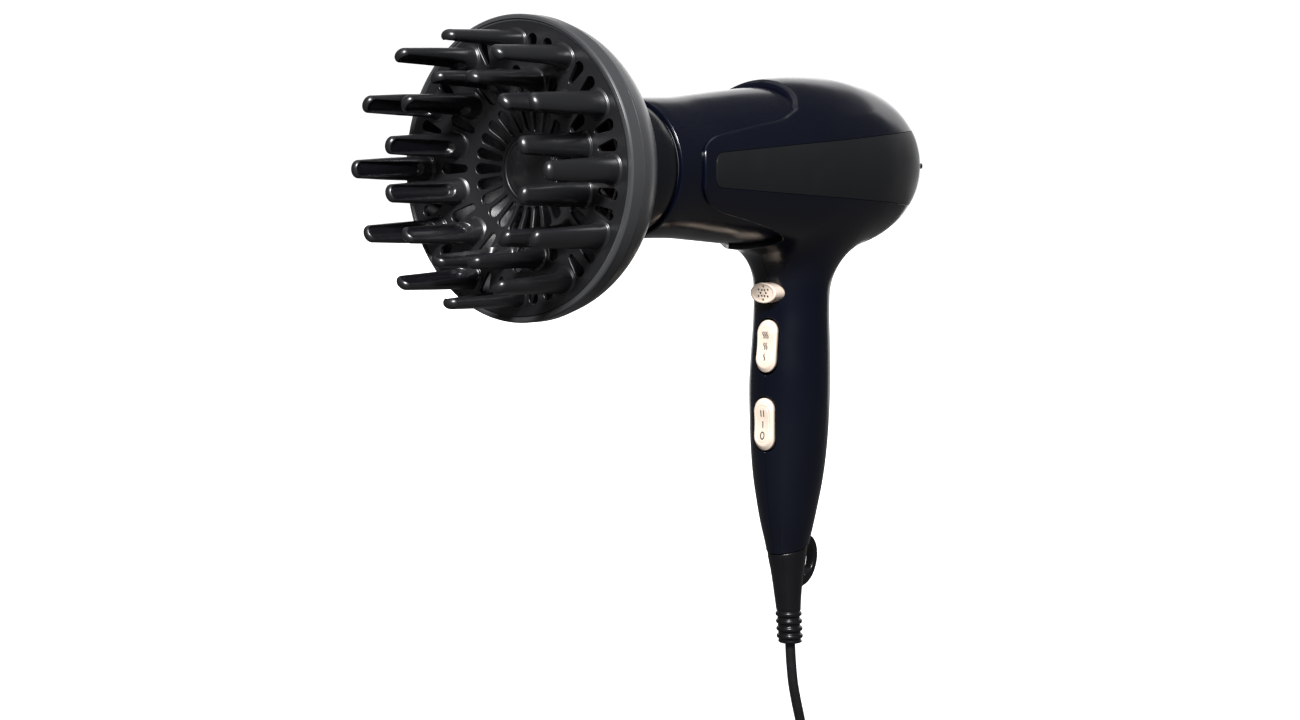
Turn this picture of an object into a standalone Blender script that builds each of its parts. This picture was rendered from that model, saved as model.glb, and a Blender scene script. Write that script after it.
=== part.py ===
"""Hair dryer with a finger diffuser, as an assembly of separate parts.

Frame: metres, +Z up.  The origin is the middle of the grip, on the handle's axis.  The air outlet
points along -X, the intake is at +X, and the left and right housing halves meet in the plane Y = 0.
Lengths below are in millimetres and are scaled by MM when a mesh is made.
"""

import math

import bmesh
import bpy
from mathutils import Matrix, Vector

MM = 0.001
GAP = 0.4  # clearance between neighbouring pieces
AXIS_Z = 105.0  # height of the barrel's axis above the grip's centre
SIDES = 32  # facets round the barrel and the body
SEAM = 0.15  # half the gap between the two housing halves

# Outer radii of the barrel and of the body, at stations along X
BARREL = ((-122, 31.3), (-96, 31.9), (-76, 33.5), (-49, 36.0), (-36, 37.0), (-14, 38.0))
BODY = (
    (-108, 33.2), (-76, 35.4), (-41, 39.0), (-11, 42.5), (4, 43.0), (19, 42.9),
    (34, 41.3), (50, 38.2), (58, 35.2), (65, 31.2),
)
BARREL_WALL = 2.0
HOUSING_WALL = 2.2
BODY_REAR = 65.0

# Front edge of the housing: degrees round the barrel from the top, and its place along X.
# It leaves a deep notch on top, reaches forward as a tongue on each side, and as a lip below.
FRONT_EDGE = (
    (0, -26.5), (28, -29), (45, -38), (55, -60), (60, -82), (67, -101), (78, -107.5), (90, -108),
    (102, -107.5), (115, -103), (125, -92), (131, -73), (141, -44), (150, -34), (168, -42), (180, -49),
)

# Handle sections: height, centre along X, half depth along X, half width along Y
HANDLE = (
    (-92, -1.8, 10.4, 8.8), (-82, -1.8, 10.8, 9.2), (-70, -2.1, 13.1, 12.4), (-58, -1.8, 15.8, 14.4),
    (-45, -1.4, 18.0, 16.7), (-18, -0.7, 20.1, 18.8), (0, -0.5, 20.0, 19.7), (18, 0.2, 19.2, 19.2),
    (36, 0.6, 18.1, 18.6), (50, 0.7, 18.6, 18.8), (57, 0.7, 21.5, 19.8), (61, 0.7, 27.0, 21.6),
    (64, 0.7, 38.0, 23.5), (68, 0.7, 46.0, 26.0), (76, 0.7, 46.0, 31.0),
)
# The same for the handle's hollow, before it is drawn in by the wall: it runs out of both ends
HOLLOW = ((-99, -1.8, 10.0, 8.6), *HANDLE[:13], (73, 0.7, 38.6, 24.0), (92, 0.7, 36.0, 24.0))
HANDLE_SIDES = 24

# Matte side bands: their ends along X, half heights there, and depth of the pocket they lie in
BAND_FRONT, BAND_REAR = -97.0, 60.0
BAND_HALF_FRONT, BAND_HALF_REAR = 7.6, 18.6
BAND_DROP = 0.9
BAND_THICK = 0.5

# Finger tabs of the intake cover
TAB_REACH, TAB_HALF_HEIGHT = 31.2, 1.8

# Buttons on the front of the handle
COOL_Z, COOL_HALF_WIDTH, COOL_HALF_HEIGHT, COOL_PROUD = 45.0, 7.6, 4.9, 5.0
HEAT_Z, SPEED_Z = 19.0, -18.0
ROCKER_HALF_WIDTH, ROCKER_HALF_HEIGHT, ROCKER_PROUD = 5.6, 12.6, 2.0
FACE_HALF_WIDTH, FACE_HALF_HEIGHT = 4.9, 10.3
PIVOT_DEPTH = 4.2
PIN_RADIUS, PIN_HOLE = 1.0, 1.3

# Diffuser
RIM_X, RIM_RADIUS, RIM_DEPTH = -196.0, 65.0, 7.6
# The plate's front face, a dish with a low dome in its middle: radius, and place along X
PLATE_FACE = (
    (0, -188.4), (8, -187.7), (13, -186.6), (16, -187.0), (28, -190.4), (37, -193.4), (45, -195.2),
    (58, -195.8),
)
PLATE_THICK = 1.8
OUTER_TIP_X, OUTER_TIP_RADIUS = -237.6, 54.6
INNER_TIP_X, INNER_TIP_RADIUS = -234.0, 39.1
FINGERS_PER_RING = 12
INNER_SLOTS = 24
SPIGOT_RADIUS, COLLAR_BORE = 27.5, 27.9
BARREL_FRONT = -122.0

# Mains lead: the surface that its coil lies on, and the coil
CORD_RADIUS = 2.5
FLOOR_Z = -200.0
COIL_CENTRE = (-49.8, -14.3)
COIL_TURN_RADII = (22.2, 37.8)
COIL_LAYERS = 2
TIE_THICK = 1.0
TIE_DEGREES = 130
PLUG_REAR_X, PLUG_FACE_X, PLUG_Y, PLUG_Z = -118.3, -172.0, -52.1, -188.0
PIN_SPACING, PLUG_PIN_RADIUS, PLUG_PIN_LENGTH = 19.0, 2.4, 19.0

# The lead from the strain relief down to the surface, and along it to the coil's lower outer turn
LEAD_ROUTE = (
    (0.9, 0, -127.4), (1.3, 0, -133), (2.2, 0, -140.5), (3.6, 0, -148.5), (6.2, 0, -157.5),
    (8.9, 0, -165.5), (10.6, -0.4, -173), (10.6, -1.5, -180), (8.7, -3.8, -186.6),
    (4.9, -8.2, -192.4), (-0.2, -14.2, -196.2), (-5.2, -20.0, -197.4), (-7.6, -22.9, -197.4),
)
# The lead from the coil's upper outer turn down to the surface, and up to the plug
TAIL_ROUTE = (
    (-70.3, -52.1, -194.2), (-77, -52.1, -196.2), (-84, -52.1, -197.3), (-92, -52.1, -196.9),
    (-100, -52.1, -194.4), (-107, -52.1, -191.2), (-112.6, -52.1, -188.9), (-117.6, -52.1, -188.2),
)

# The lead's clamp inside the handle
CLAMP_Z = -63.0
CLAMP_SCREW_X = (-8.4, 3.4)


# ---------------------------------------------------------------- small tools


def clear_scene():
    for old in list(bpy.data.objects):
        bpy.data.objects.remove(old)


def plastic(name, colour, roughness, metallic=0.0):
    """A Principled material, made once for each name."""
    made = bpy.data.materials.get(name)
    if made:
        return made
    made = bpy.data.materials.new(name)
    made.use_nodes = True
    shader = made.node_tree.nodes["Principled BSDF"]
    shader.inputs["Base Color"].default_value = (*colour, 1.0)
    shader.inputs["Roughness"].default_value = roughness
    shader.inputs["Metallic"].default_value = metallic
    return made


def gloss_black():
    return plastic("gloss_black", (0.008, 0.009, 0.012), 0.12)


def satin_grey():
    return plastic("satin_grey", (0.075, 0.078, 0.082), 0.38)


def matte_band():
    return plastic("matte_band", (0.055, 0.06, 0.065), 0.55)


def rose_gold():
    return plastic("rose_gold", (0.87, 0.72, 0.62), 0.3, 0.35)


def soft_rubber():
    return plastic("soft_rubber", (0.05, 0.052, 0.055), 0.6)


def black_cable():
    return plastic("black_cable", (0.02, 0.02, 0.022), 0.5)


def mica():
    return plastic("mica", (0.62, 0.52, 0.36), 0.5)


def bright_metal():
    return plastic("bright_metal", (0.7, 0.7, 0.72), 0.25, 1.0)


def heat_plastic():
    return plastic("heat_plastic", (0.03, 0.03, 0.032), 0.45)


def board_green():
    return plastic("board_green", (0.05, 0.2, 0.1), 0.4)


def smooth(keys, place, column=1):
    """The value at place of a smooth cubic through keys, which are sorted by their first number."""
    if place <= keys[0][0]:
        return keys[0][column]
    if place >= keys[-1][0]:
        return keys[-1][column]
    last = len(keys) - 1
    here = max(i for i in range(last) if keys[i][0] <= place)

    def slope(i):
        low, high = max(i - 1, 0), min(i + 1, last)
        return (keys[high][column] - keys[low][column]) / (keys[high][0] - keys[low][0])

    span = keys[here + 1][0] - keys[here][0]
    t = (place - keys[here][0]) / span
    return (
        keys[here][column] * (1 + 2 * t) * (1 - t) ** 2
        + slope(here) * span * t * (1 - t) ** 2
        + keys[here + 1][column] * t * t * (3 - 2 * t)
        - slope(here + 1) * span * t * t * (1 - t)
    )


def finish(name, bm, skin, sharp=40):
    """Turns a bmesh in millimetres into a named object in metres, with its faces pointing out."""
    bmesh.ops.remove_doubles(bm, verts=bm.verts, dist=0.001)
    bmesh.ops.scale(bm, vec=(MM, MM, MM), verts=bm.verts)
    bmesh.ops.recalc_face_normals(bm, faces=bm.faces)
    mesh = bpy.data.meshes.new(name)
    bm.to_mesh(mesh)
    bm.free()
    mesh.shade_smooth()
    mesh.set_sharp_from_angle(angle=math.radians(sharp))
    mesh.materials.append(skin)
    made = bpy.data.objects.new(name, mesh)
    bpy.context.scene.collection.objects.link(made)
    return made


def is_closed(mesh):
    bm = bmesh.new()
    bm.from_mesh(mesh)
    closed = all(len(edge.link_faces) == 2 for edge in bm.edges)
    bm.free()
    return closed


def combine(target, tool, operation):
    """Applies a Boolean of target with tool, and removes tool.  The second solver is the fallback."""
    modifier = target.modifiers.new(operation.lower(), "BOOLEAN")
    modifier.operation = operation
    modifier.object = tool
    for solver in ("EXACT", "MANIFOLD"):
        modifier.solver = solver
        seen = target.evaluated_get(bpy.context.evaluated_depsgraph_get())
        result = bpy.data.meshes.new_from_object(seen)
        if is_closed(result):
            break
    target.modifiers.clear()
    target.data = result
    bpy.data.objects.remove(tool)
    return target


def cut(target, *tools):
    for tool in tools:
        combine(target, tool, "DIFFERENCE")
    return target


def join(target, *tools):
    for tool in tools:
        combine(target, tool, "UNION")
    return target


def copy_of(made, name):
    twin = bpy.data.objects.new(name, made.data.copy())
    bpy.context.scene.collection.objects.link(twin)
    return twin


# ---------------------------------------------------------------- basic solids


def turned(name, outline, skin, sides=SIDES, centre=(0.0, 0.0, AXIS_Z), axis="X", closed=True):
    """A solid turned round an axis through centre, from an outline of (place along it, radius)."""
    bm = bmesh.new()
    across = Vector((0, 0, 1)) if axis != "Z" else Vector((1, 0, 0))
    along = {"X": Vector((1, 0, 0)), "Y": Vector((0, 1, 0)), "Z": Vector((0, 0, 1))}[axis]
    verts = [bm.verts.new(Vector(centre) + along * place + across * radius) for place, radius in outline]
    pairs = list(zip(verts, verts[1:])) + ([(verts[-1], verts[0])] if closed else [])
    edges = [bm.edges.new(pair) for pair in pairs]
    bmesh.ops.spin(
        bm, geom=verts + edges, cent=centre, axis=along, dvec=(0, 0, 0),
        angle=math.tau, steps=sides, use_merge=True, use_duplicate=False,
    )
    return finish(name, bm, skin)


def rod(name, start, end, radius, skin, sides=16):
    """A plain cylinder from start to end, along one axis of the frame."""
    low, high = Vector(start), Vector(end)
    bm = bmesh.new()
    turn = (high - low).to_track_quat("Z", "Y").to_matrix().to_4x4()
    place = Matrix.Translation((low + high) / 2) @ turn
    bmesh.ops.create_cone(
        bm, cap_ends=True, segments=sides, radius1=radius, radius2=radius,
        depth=(high - low).length, matrix=place,
    )
    return finish(name, bm, skin)


def block(name, low, high, skin):
    low, high = Vector(low), Vector(high)
    bm = bmesh.new()
    place = Matrix.Translation((low + high) / 2) @ Matrix.Diagonal((*(high - low), 1))
    bmesh.ops.create_cube(bm, size=1.0, matrix=place)
    return finish(name, bm, skin)


def loft(name, rings, skin, sharp=40):
    """A closed solid through rings of points that all have the same count."""
    bm = bmesh.new()
    rows = [[bm.verts.new(point) for point in ring] for ring in rings]
    for lower, upper in zip(rows, rows[1:]):
        for i in range(len(lower)):
            j = (i + 1) % len(lower)
            bm.faces.new((lower[i], lower[j], upper[j], upper[i]))
    bm.faces.new(rows[0])
    bm.faces.new(rows[-1])
    return finish(name, bm, skin, sharp)


def prism(name, outline, low, high, axis, skin):
    """An outline in the plane across axis, extruded from low to high along it."""
    orders = {
        "X": lambda a, b, c: (c, a, b),
        "Y": lambda a, b, c: (a, c, b),
        "Z": lambda a, b, c: (a, b, c),
    }
    order = orders[axis]
    return loft(name, [[order(a, b, c) for a, b in outline] for c in (low, high)], skin)


def oval(half_width, half_height, count=24):
    """Points of an ellipse."""
    return [
        (half_width * math.cos(math.tau * i / count), half_height * math.sin(math.tau * i / count))
        for i in range(count)
    ]


def stadium(half_width, half_height, arc=8):
    """Points of a tall outline with round ends."""
    straight = half_height - half_width
    points = []
    for end in (1, -1):
        for i in range(arc + 1):
            angle = math.pi * i / arc + (0 if end > 0 else math.pi)
            points.append((half_width * math.cos(angle), end * straight + half_width * math.sin(angle)))
    return points


def grid_ring(name, outline_of, columns, skin):
    """A closed ring built column by column round the barrel; outline_of(degrees) is its section there."""
    bm = bmesh.new()
    rows = []
    for i in range(columns):
        angle = math.tau * i / columns
        section = outline_of(math.degrees(angle))
        rows.append([
            bm.verts.new((x, -r * math.sin(angle), AXIS_Z + r * math.cos(angle))) for x, r in section
        ])
    for i, here in enumerate(rows):
        after = rows[(i + 1) % columns]
        for j in range(len(here)):
            k = (j + 1) % len(here)
            bm.faces.new((here[j], here[k], after[k], after[j]))
    return finish(name, bm, skin)


def wire(name, route, radius, skin, resolution=1):
    """A round wire or cable along a smooth curve through its route's points."""
    curve = bpy.data.curves.new(name, "CURVE")
    curve.dimensions = "3D"
    curve.bevel_depth = radius * MM
    curve.bevel_resolution = resolution
    curve.use_fill_caps = True
    points = even_points(route, 4.6 * radius)
    line = curve.splines.new("POLY")
    line.points.add(len(points) - 1)
    for point, place in zip(line.points, points):
        point.co = (*(Vector(place) * MM), 1.0)
    curve.materials.append(skin)
    made = bpy.data.objects.new(name, curve)
    bpy.context.scene.collection.objects.link(made)
    return made


def even_points(route, step):
    """Points about a step apart on a Catmull-Rom curve through the route."""
    stops = [Vector(p) for p in route]
    stops = [2 * stops[0] - stops[1], *stops, 2 * stops[-1] - stops[-2]]
    fine = []
    for a, b, c, d in zip(stops, stops[1:], stops[2:], stops[3:]):
        for i in range(24):
            t = i / 24
            fine.append(0.5 * (
                2 * b + (c - a) * t + (2 * a - 5 * b + 4 * c - d) * t ** 2 + (3 * b - a - 3 * c + d) * t ** 3
            ))
    fine.append(stops[-2])
    total = sum((q - p).length for p, q in zip(fine, fine[1:]))
    count = max(2, round(total / step))
    points, walked, target = [fine[0]], 0.0, total / count
    for p, q in zip(fine, fine[1:]):
        length = (q - p).length
        while length and walked + length >= target * len(points) - 1e-6 and len(points) < count:
            points.append(p.lerp(q, (target * len(points) - walked) / length))
        walked += length
    points.append(fine[-1])
    return points


# ---------------------------------------------------------------- housing


def body_radius(x):
    return smooth(BODY, x)


def barrel_radius(x):
    return smooth(BARREL, x)


def housing_inner(x):
    """The housing's inner radius: it wraps the barrel closely in front, and has an even wall behind."""
    if x < -10:
        return barrel_radius(x) + GAP
    return body_radius(x) - HOUSING_WALL


def front_edge(degrees):
    """Place along X of the housing's front edge, the same on both sides."""
    return smooth(FRONT_EDGE, min(degrees, 360 - degrees))


def housing_section(degrees):
    start = front_edge(degrees)
    stations = [start + (BODY_REAR - start) * i / 12 for i in range(13)]
    return [(x, body_radius(x)) for x in stations] + [(BODY_REAR, 15.0), (start, 15.0)]


def handle_sections(inset=0.0, shape=HANDLE):
    """Rings of the handle, from the bottom up, drawn in by inset."""
    rings = []
    for z, centre, depth, width in shape:
        ring = oval(depth - inset, width - inset, HANDLE_SIDES)
        rings.append([(centre + a, b, z) for a, b in ring])
    return rings


def handle_front(z):
    """Place along X of the handle's front surface at height z."""
    return smooth(HANDLE, z, 1) - smooth(HANDLE, z, 2)


def band_patch(name, side, depth, rise, grow):
    """The band's shape on one side: a trapezoid on the body, from depth below its skin to rise above it."""
    bm = bmesh.new()
    steps, rows = 8, 4
    layers = []
    for offset in (-depth, rise):
        layer = []
        for i in range(steps + 1):
            x = BAND_FRONT - grow + (BAND_REAR - BAND_FRONT + 2 * grow) * i / steps
            share = (x - BAND_FRONT) / (BAND_REAR - BAND_FRONT)
            half = BAND_HALF_FRONT + (BAND_HALF_REAR - BAND_HALF_FRONT) * share + grow
            radius = body_radius(x)
            spread = [math.asin((half * (2 * j / rows - 1) - BAND_DROP) / radius) for j in range(rows + 1)]
            r = radius + offset
            layer.append([
                bm.verts.new((x, side * r * math.cos(a), AXIS_Z + r * math.sin(a))) for a in spread
            ])
        layers.append(layer)
    for layer in layers:
        for i in range(steps):
            for j in range(rows):
                bm.faces.new((layer[i][j], layer[i + 1][j], layer[i + 1][j + 1], layer[i][j + 1]))
    low, high = layers
    for i in range(steps):
        for j in (0, rows):
            bm.faces.new((low[i][j], low[i + 1][j], high[i + 1][j], high[i][j]))
    for j in range(rows):
        for i in (0, steps):
            bm.faces.new((low[i][j], low[i][j + 1], high[i][j + 1], high[i][j]))
    return finish(name, bm, matte_band())


SCREWS = {"upper": (9.0, 33.0, 13.0), "lower": (7.0, -55.0, 9.5)}  # x, z, and y of the head's seat


def whole_housing():
    """Body shell and handle in one piece, with its openings, before it is split into halves."""
    shell = grid_ring("housing", housing_section, SIDES, gloss_black())
    join(shell, loft("handle_outside", handle_sections(), gloss_black()))
    core = [(x, housing_inner(x)) for x in range(-121, 73, 8)]
    cut(shell, turned("core", [(core[0][0], 0), *core, (core[-1][0], 0)], gloss_black(), closed=False))
    cut(shell, loft("handle_inside", handle_sections(HOUSING_WALL, HOLLOW), gloss_black()))
    for x, z, seat in SCREWS.values():
        join(shell, rod("boss", (x, -seat - 1.5, z), (x, seat + 1.5, z), 3.2, gloss_black(), 12))
        cut(shell, rod("drill", (x, 1 - seat, z), (x, 30, z), 1.8, gloss_black(), 10))
        cut(shell, rod("counterbore", (x, seat, z), (x, 30, z), 3.5, gloss_black(), 12))
    cool = oval(COOL_HALF_WIDTH + GAP, COOL_HALF_HEIGHT + GAP, 20)
    cut(shell, prism("cool_hole", [(a, b + COOL_Z) for a, b in cool], -40, -6, "X", gloss_black()))
    for z in (HEAT_Z, SPEED_Z):
        slot = stadium(ROCKER_HALF_WIDTH + 0.5, ROCKER_HALF_HEIGHT + 0.8, 6)
        cut(shell, prism("rocker_hole", [(a, b + z) for a, b in slot], -40, -6, "X", gloss_black()))
    for side in (1, -1):
        cut(shell, band_patch("pocket", side, BAND_THICK + 0.3, 3, 0.3))
    cut(shell, below_foot("foot", 0))
    return shell


def make_housing():
    """The two housing halves, the bands that lie in their sides, and the screws that close them."""
    whole = whole_housing()
    for name, side in (("housing_left", 1), ("housing_right", -1)):
        half = copy_of(whole, name)
        low, high = sorted((side * SEAM, side * 80.0))
        combine(half, block("half_space", (-150, low, -120), (100, high, 200), gloss_black()), "INTERSECT")
        if side < 0:
            join(half, clamp_seat())
    bpy.data.objects.remove(whole)
    band_patch("side_band_left", 1, BAND_THICK, 0, 0)
    band_patch("side_band_right", -1, BAND_THICK, 0, 0)
    for name, (x, z, seat) in SCREWS.items():
        start, top = 2 - seat, seat + 0.3
        shape = [(start, 0), (start, 1.3), (top, 1.3), (top, 2.8), (top + 1.9, 2.8), (top + 1.9, 0)]
        turned(f"handle_screw_{name}", shape, bright_metal(), 10, (x, 0, z), "Y", closed=False)


def clamp_seat():
    """The block in the right half that the lead is clamped against."""
    seat = block("clamp_seat", (-11, -14, CLAMP_Z - 4), (6, -2.9, CLAMP_Z + 3.6), gloss_black())
    combine(seat, loft("limit", handle_sections(1.0), gloss_black()), "INTERSECT")
    for x in CLAMP_SCREW_X:
        cut(seat, rod("drill", (x, -9.0, CLAMP_Z), (x, 0, CLAMP_Z), 1.2, gloss_black(), 8))
    return seat


def make_barrel():
    """The front barrel, the outlet ring that attachments slip onto, and its grille."""
    stations = [BARREL_FRONT, -112, -100, -88, -76, -62, -49, -36, -25, -14]
    outer = [(x, barrel_radius(x)) for x in stations]
    inner = [(x, barrel_radius(x) - BARREL_WALL) for x in stations]
    turned("front_barrel", outer + inner[::-1], gloss_black())
    ring = [
        (-134, SPIGOT_RADIUS - 0.6), (-133, SPIGOT_RADIUS), (-121, SPIGOT_RADIUS), (-121, 28.8),
        (-113, 28.8), (-113, 26.6), (-119, 26.0), (-134, 26.0),
    ]
    turned("outlet_ring", ring, heat_plastic(), 24)
    ring = [(-126, 23.6), (-126, 25.4), (-123.5, 25.4), (-123.5, 23.6)]
    grille = turned("outlet_grille", ring, bright_metal(), 24)
    for radius in (8.0, 16.0):
        low, high = radius - 0.7, radius + 0.7
        hoop = [(-125.6, low), (-125.6, high), (-124.2, high), (-124.2, low)]
        join(grille, turned("hoop", hoop, bright_metal(), 20))
    for i in range(4):
        bar = block("bar", (-125.4, -24.6, -0.6), (-124.0, 24.6, 0.6), bright_metal())
        join(grille, turned_by(bar, i / 8 + 1 / 16))


def turned_by(made, share):
    """Turns a piece about the world's X axis by a share of a full turn, and lifts it to the barrel's axis."""
    made.matrix_world = Matrix.Translation((0, 0, AXIS_Z * MM)) @ Matrix.Rotation(math.tau * share, 4, "X")
    return made


# ---------------------------------------------------------------- intake, fan and heater


def make_rear_cover():
    """The intake cover that pulls off the rear, with its dust screen."""
    outside = [(76.2, 0), (76.2, 5.0), (75.8, 10.5), (74.2, 18.6), (71.6, 24.4), (68.5, 28.4), (65.4, 30.8)]
    skirt = [(65.4, 28.2), (58, 28.2), (58, 26.6), (66.4, 26.6)]
    inside = [(69.6, 23.0), (72.2, 17.6), (73.8, 10.5), (74.2, 5.0), (74.2, 0)]
    cover = turned("intake_cover", outside + skirt + inside, gloss_black(), closed=False)
    slot = [(-0.9, 7.5), (0.9, 7.5), (1.9, 21.5), (-1.9, 21.5)]
    for i in range(16):
        cut(cover, turned_by(prism("slot", slot, 60, 90, "X", gloss_black()), i / 16))
    for side in (1, -1):
        low, high = sorted((side * 28.6, side * TAB_REACH))
        near, far = (65.6, low, AXIS_Z - TAB_HALF_HEIGHT), (67.6, high, AXIS_Z + TAB_HALF_HEIGHT)
        join(cover, block("tab", near, far, gloss_black()))
    sheet = [(60, 0), (60, 26.2), (61, 26.2), (61, 0)]
    screen = turned("dust_screen", sheet, bright_metal(), 24, closed=False)
    pitch = 8.4
    for i in (-2, -1, 0, 1, 2):
        for j in (-2, -1, 0, 1, 2):
            if math.hypot(i, j) * pitch < 20:
                y, z = i * pitch, AXIS_Z + j * pitch
                low, high = (58, y - 3.4, z - 3.4), (63, y + 3.4, z + 3.4)
                cut(screen, block("mesh_hole", low, high, bright_metal()))


def blade(name, root, tip, twists, chords, x, thick, skin):
    """A twisted blade along +Z from root to tip, centred at x, before it is turned into place."""
    rings = []
    for radius, twist, chord in zip((root, tip), twists, chords):
        angle = math.radians(twist)
        along = Vector((math.cos(angle), math.sin(angle), 0))
        across = Vector((-math.sin(angle), math.cos(angle), 0))
        corners = ((-0.5, -0.5), (0.5, -0.5), (0.5, 0.5), (-0.5, 0.5))
        rings.append([Vector((x, 0, radius)) + along * chord * a + across * thick * b for a, b in corners])
    return loft(name, rings, skin)


def make_fan():
    """Fan duct with its guide vanes, motor, shaft and impeller."""
    duct = turned("fan_duct", [(-4, 34.6), (46, 34.6), (46, 33.3), (-4, 33.3)], heat_plastic(), 24)
    join(duct, turned("hub", [(-4, 16.0), (22, 16.0), (22, 14.3), (-4, 14.3)], heat_plastic(), 20))
    for i in range(5):
        vane = blade("vane", 15.2, 34.0, (-12, -12), (15, 15), 8, 1.2, heat_plastic())
        join(duct, turned_by(vane, i / 5))
    turned("motor_damper", [(16, 40.0), (22, 40.0), (22, 35.1), (16, 35.1)], soft_rubber())
    can = [(-9, 13.8), (26, 13.8), (26, 1.5), (24.8, 1.5), (24.8, 12.8), (-9, 12.8)]
    turned("motor_can", can, bright_metal(), 20)
    bell = [(-12.4, 1.5), (-12.4, 6.0), (-9.4, 6.6), (-9.4, 12.2), (-7.6, 12.2), (-7.6, 1.5)]
    turned("motor_end_bell", bell, heat_plastic(), 20)
    for name, side in (("magnet_left", 1), ("magnet_right", -1)):
        magnet = turned(name, [(-4, 12.2), (20, 12.2), (20, 10.4), (-4, 10.4)], heat_plastic(), 20)
        low, high = sorted((side * 2.5, side * 20.0))
        combine(magnet, block("side", (-10, low, 80), (30, high, 130), heat_plastic()), "INTERSECT")
    turned("armature", [(-3, 1.5), (-3, 9.4), (18, 9.4), (18, 1.5)], bright_metal(), 14)
    rod("motor_shaft", (-11.4, 0, AXIS_Z), (42, 0, AXIS_Z), 1.0, bright_metal(), 10)
    hub = [(28, 1.5), (28, 12.4), (40, 12.4), (43.4, 9.0), (45, 3.4), (45, 1.5)]
    impeller = turned("impeller", hub, heat_plastic(), 18)
    for i in range(7):
        piece = blade("blade", 11.6, 31.0, (48, 68), (15, 20), 35.5, 1.3, heat_plastic())
        join(impeller, turned_by(piece, i / 7))


COIL_STATIONS = {"front": -94.0, "middle": -72.0, "rear": -50.0}
BOARD_FRONT, BOARD_REAR, BOARD_HALF, BOARD_THICK = -108.0, -34.0, 27.2, 0.9


def board_outline(slot_from_front):
    """A heater board with notches for the coils, and a slot to half its length for the other board."""
    middle = (BOARD_FRONT + BOARD_REAR) / 2
    slot = BOARD_THICK / 2 + 0.3
    upper = [(BOARD_FRONT, BOARD_HALF)]
    for x in COIL_STATIONS.values():
        upper += [(x - 2.6, BOARD_HALF), (x - 2.6, 21.6), (x + 2.6, 21.6), (x + 2.6, BOARD_HALF)]
    upper.append((BOARD_REAR, BOARD_HALF))
    lower = [(x, -r) for x, r in reversed(upper)]
    if slot_from_front:
        stop = middle + 0.3
        return upper + lower + [(BOARD_FRONT, -slot), (stop, -slot), (stop, slot), (BOARD_FRONT, slot)]
    stop = middle - 0.3
    return upper + [(BOARD_REAR, slot), (stop, slot), (stop, -slot), (BOARD_REAR, -slot)] + lower


def heater_board(name, slot_from_front, skin):
    """A thin board about the barrel's axis: upright if its slot starts at the front, else level."""
    rings = []
    for side in (-BOARD_THICK / 2, BOARD_THICK / 2):
        outline = board_outline(slot_from_front)
        if slot_from_front:
            rings.append([(x, side, AXIS_Z + r) for x, r in outline])
        else:
            rings.append([(x, r, AXIS_Z + side) for x, r in outline])
    return loft(name, rings, skin)


def make_heater():
    """Crossed mica boards, their three heating coils, the safety parts and the mica sleeve."""
    heater_board("heater_board_upright", True, mica())
    heater_board("heater_board_level", False, mica())
    for name, x in COIL_STATIONS.items():
        section = [(x + a, 24.2 + b) for a, b in oval(1.6, 1.6, 5)]
        turned(f"heating_coil_{name}", section, bright_metal(), 20)
    turned("mica_sleeve", [(-111, 28.8), (-30, 28.8), (-30, 28.1), (-111, 28.1)], mica(), 24)
    block("thermostat", (-46, 0.85, AXIS_Z + 6), (-37, 7.0, AXIS_Z + 15), bright_metal())
    rod("thermal_fuse", (-48, -3.2, AXIS_Z + 10), (-37, -3.2, AXIS_Z + 10), 2.0, bright_metal(), 10)


# ---------------------------------------------------------------- controls


def rocker_lean(z):
    """Lean of the handle's front surface at a rocker, in radians about Y."""
    rise = 2 * ROCKER_HALF_HEIGHT
    return math.atan2(handle_front(z + rise / 2) - handle_front(z - rise / 2), rise)


def make_rocker(name, z, switch_front):
    """One three-position rocker, its pin, and the switch behind it."""
    front = (handle_front(z - 8) + handle_front(z + 8)) / 2
    pivot = front + PIVOT_DEPTH
    levels = (
        (front + 1.5, ROCKER_HALF_WIDTH, ROCKER_HALF_HEIGHT),
        (front - 0.3, ROCKER_HALF_WIDTH, ROCKER_HALF_HEIGHT),
        (front - ROCKER_PROUD, FACE_HALF_WIDTH, FACE_HALF_HEIGHT),
    )
    rings = [[(x - pivot, a, b) for a, b in stadium(w, h, 6)] for x, w, h in levels]
    rocker = loft(f"{name}_rocker", rings, rose_gold(), 30)
    stem = [(front + 1.0 - pivot, -3.2), (front + 1.0 - pivot, 3.2), (1.6, 3.2), (2.4, 0), (1.6, -3.2)]
    join(rocker, prism("stem", stem, -3.8, 3.8, "Y", rose_gold()))
    cut(rocker, rod("bore", (0, -8, 0), (0, 8, 0), PIN_HOLE, rose_gold(), 12))
    rocker.location = Vector((pivot, 0, z)) * MM
    rocker.rotation_euler = (0, rocker_lean(z), 0)
    rod(f"{name}_rocker_pin", (pivot, -5.7, z), (pivot, 5.7, z), PIN_RADIUS, bright_metal(), 10)
    switch = block(f"{name}_switch", (switch_front, -6, z - 10.5), (-3.8, 6, z + 10.5), heat_plastic())
    for side in (1, -1):
        low, high = sorted((side * 4.5, side * 5.9))
        near, far = (pivot - 2.0, low, z - 2.2), (switch_front + 1, high, z + 2.2)
        join(switch, block("ear", near, far, heat_plastic()))
    cut(switch, rod("bore", (pivot, -8, z), (pivot, 8, z), PIN_HOLE, heat_plastic(), 12))


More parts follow.
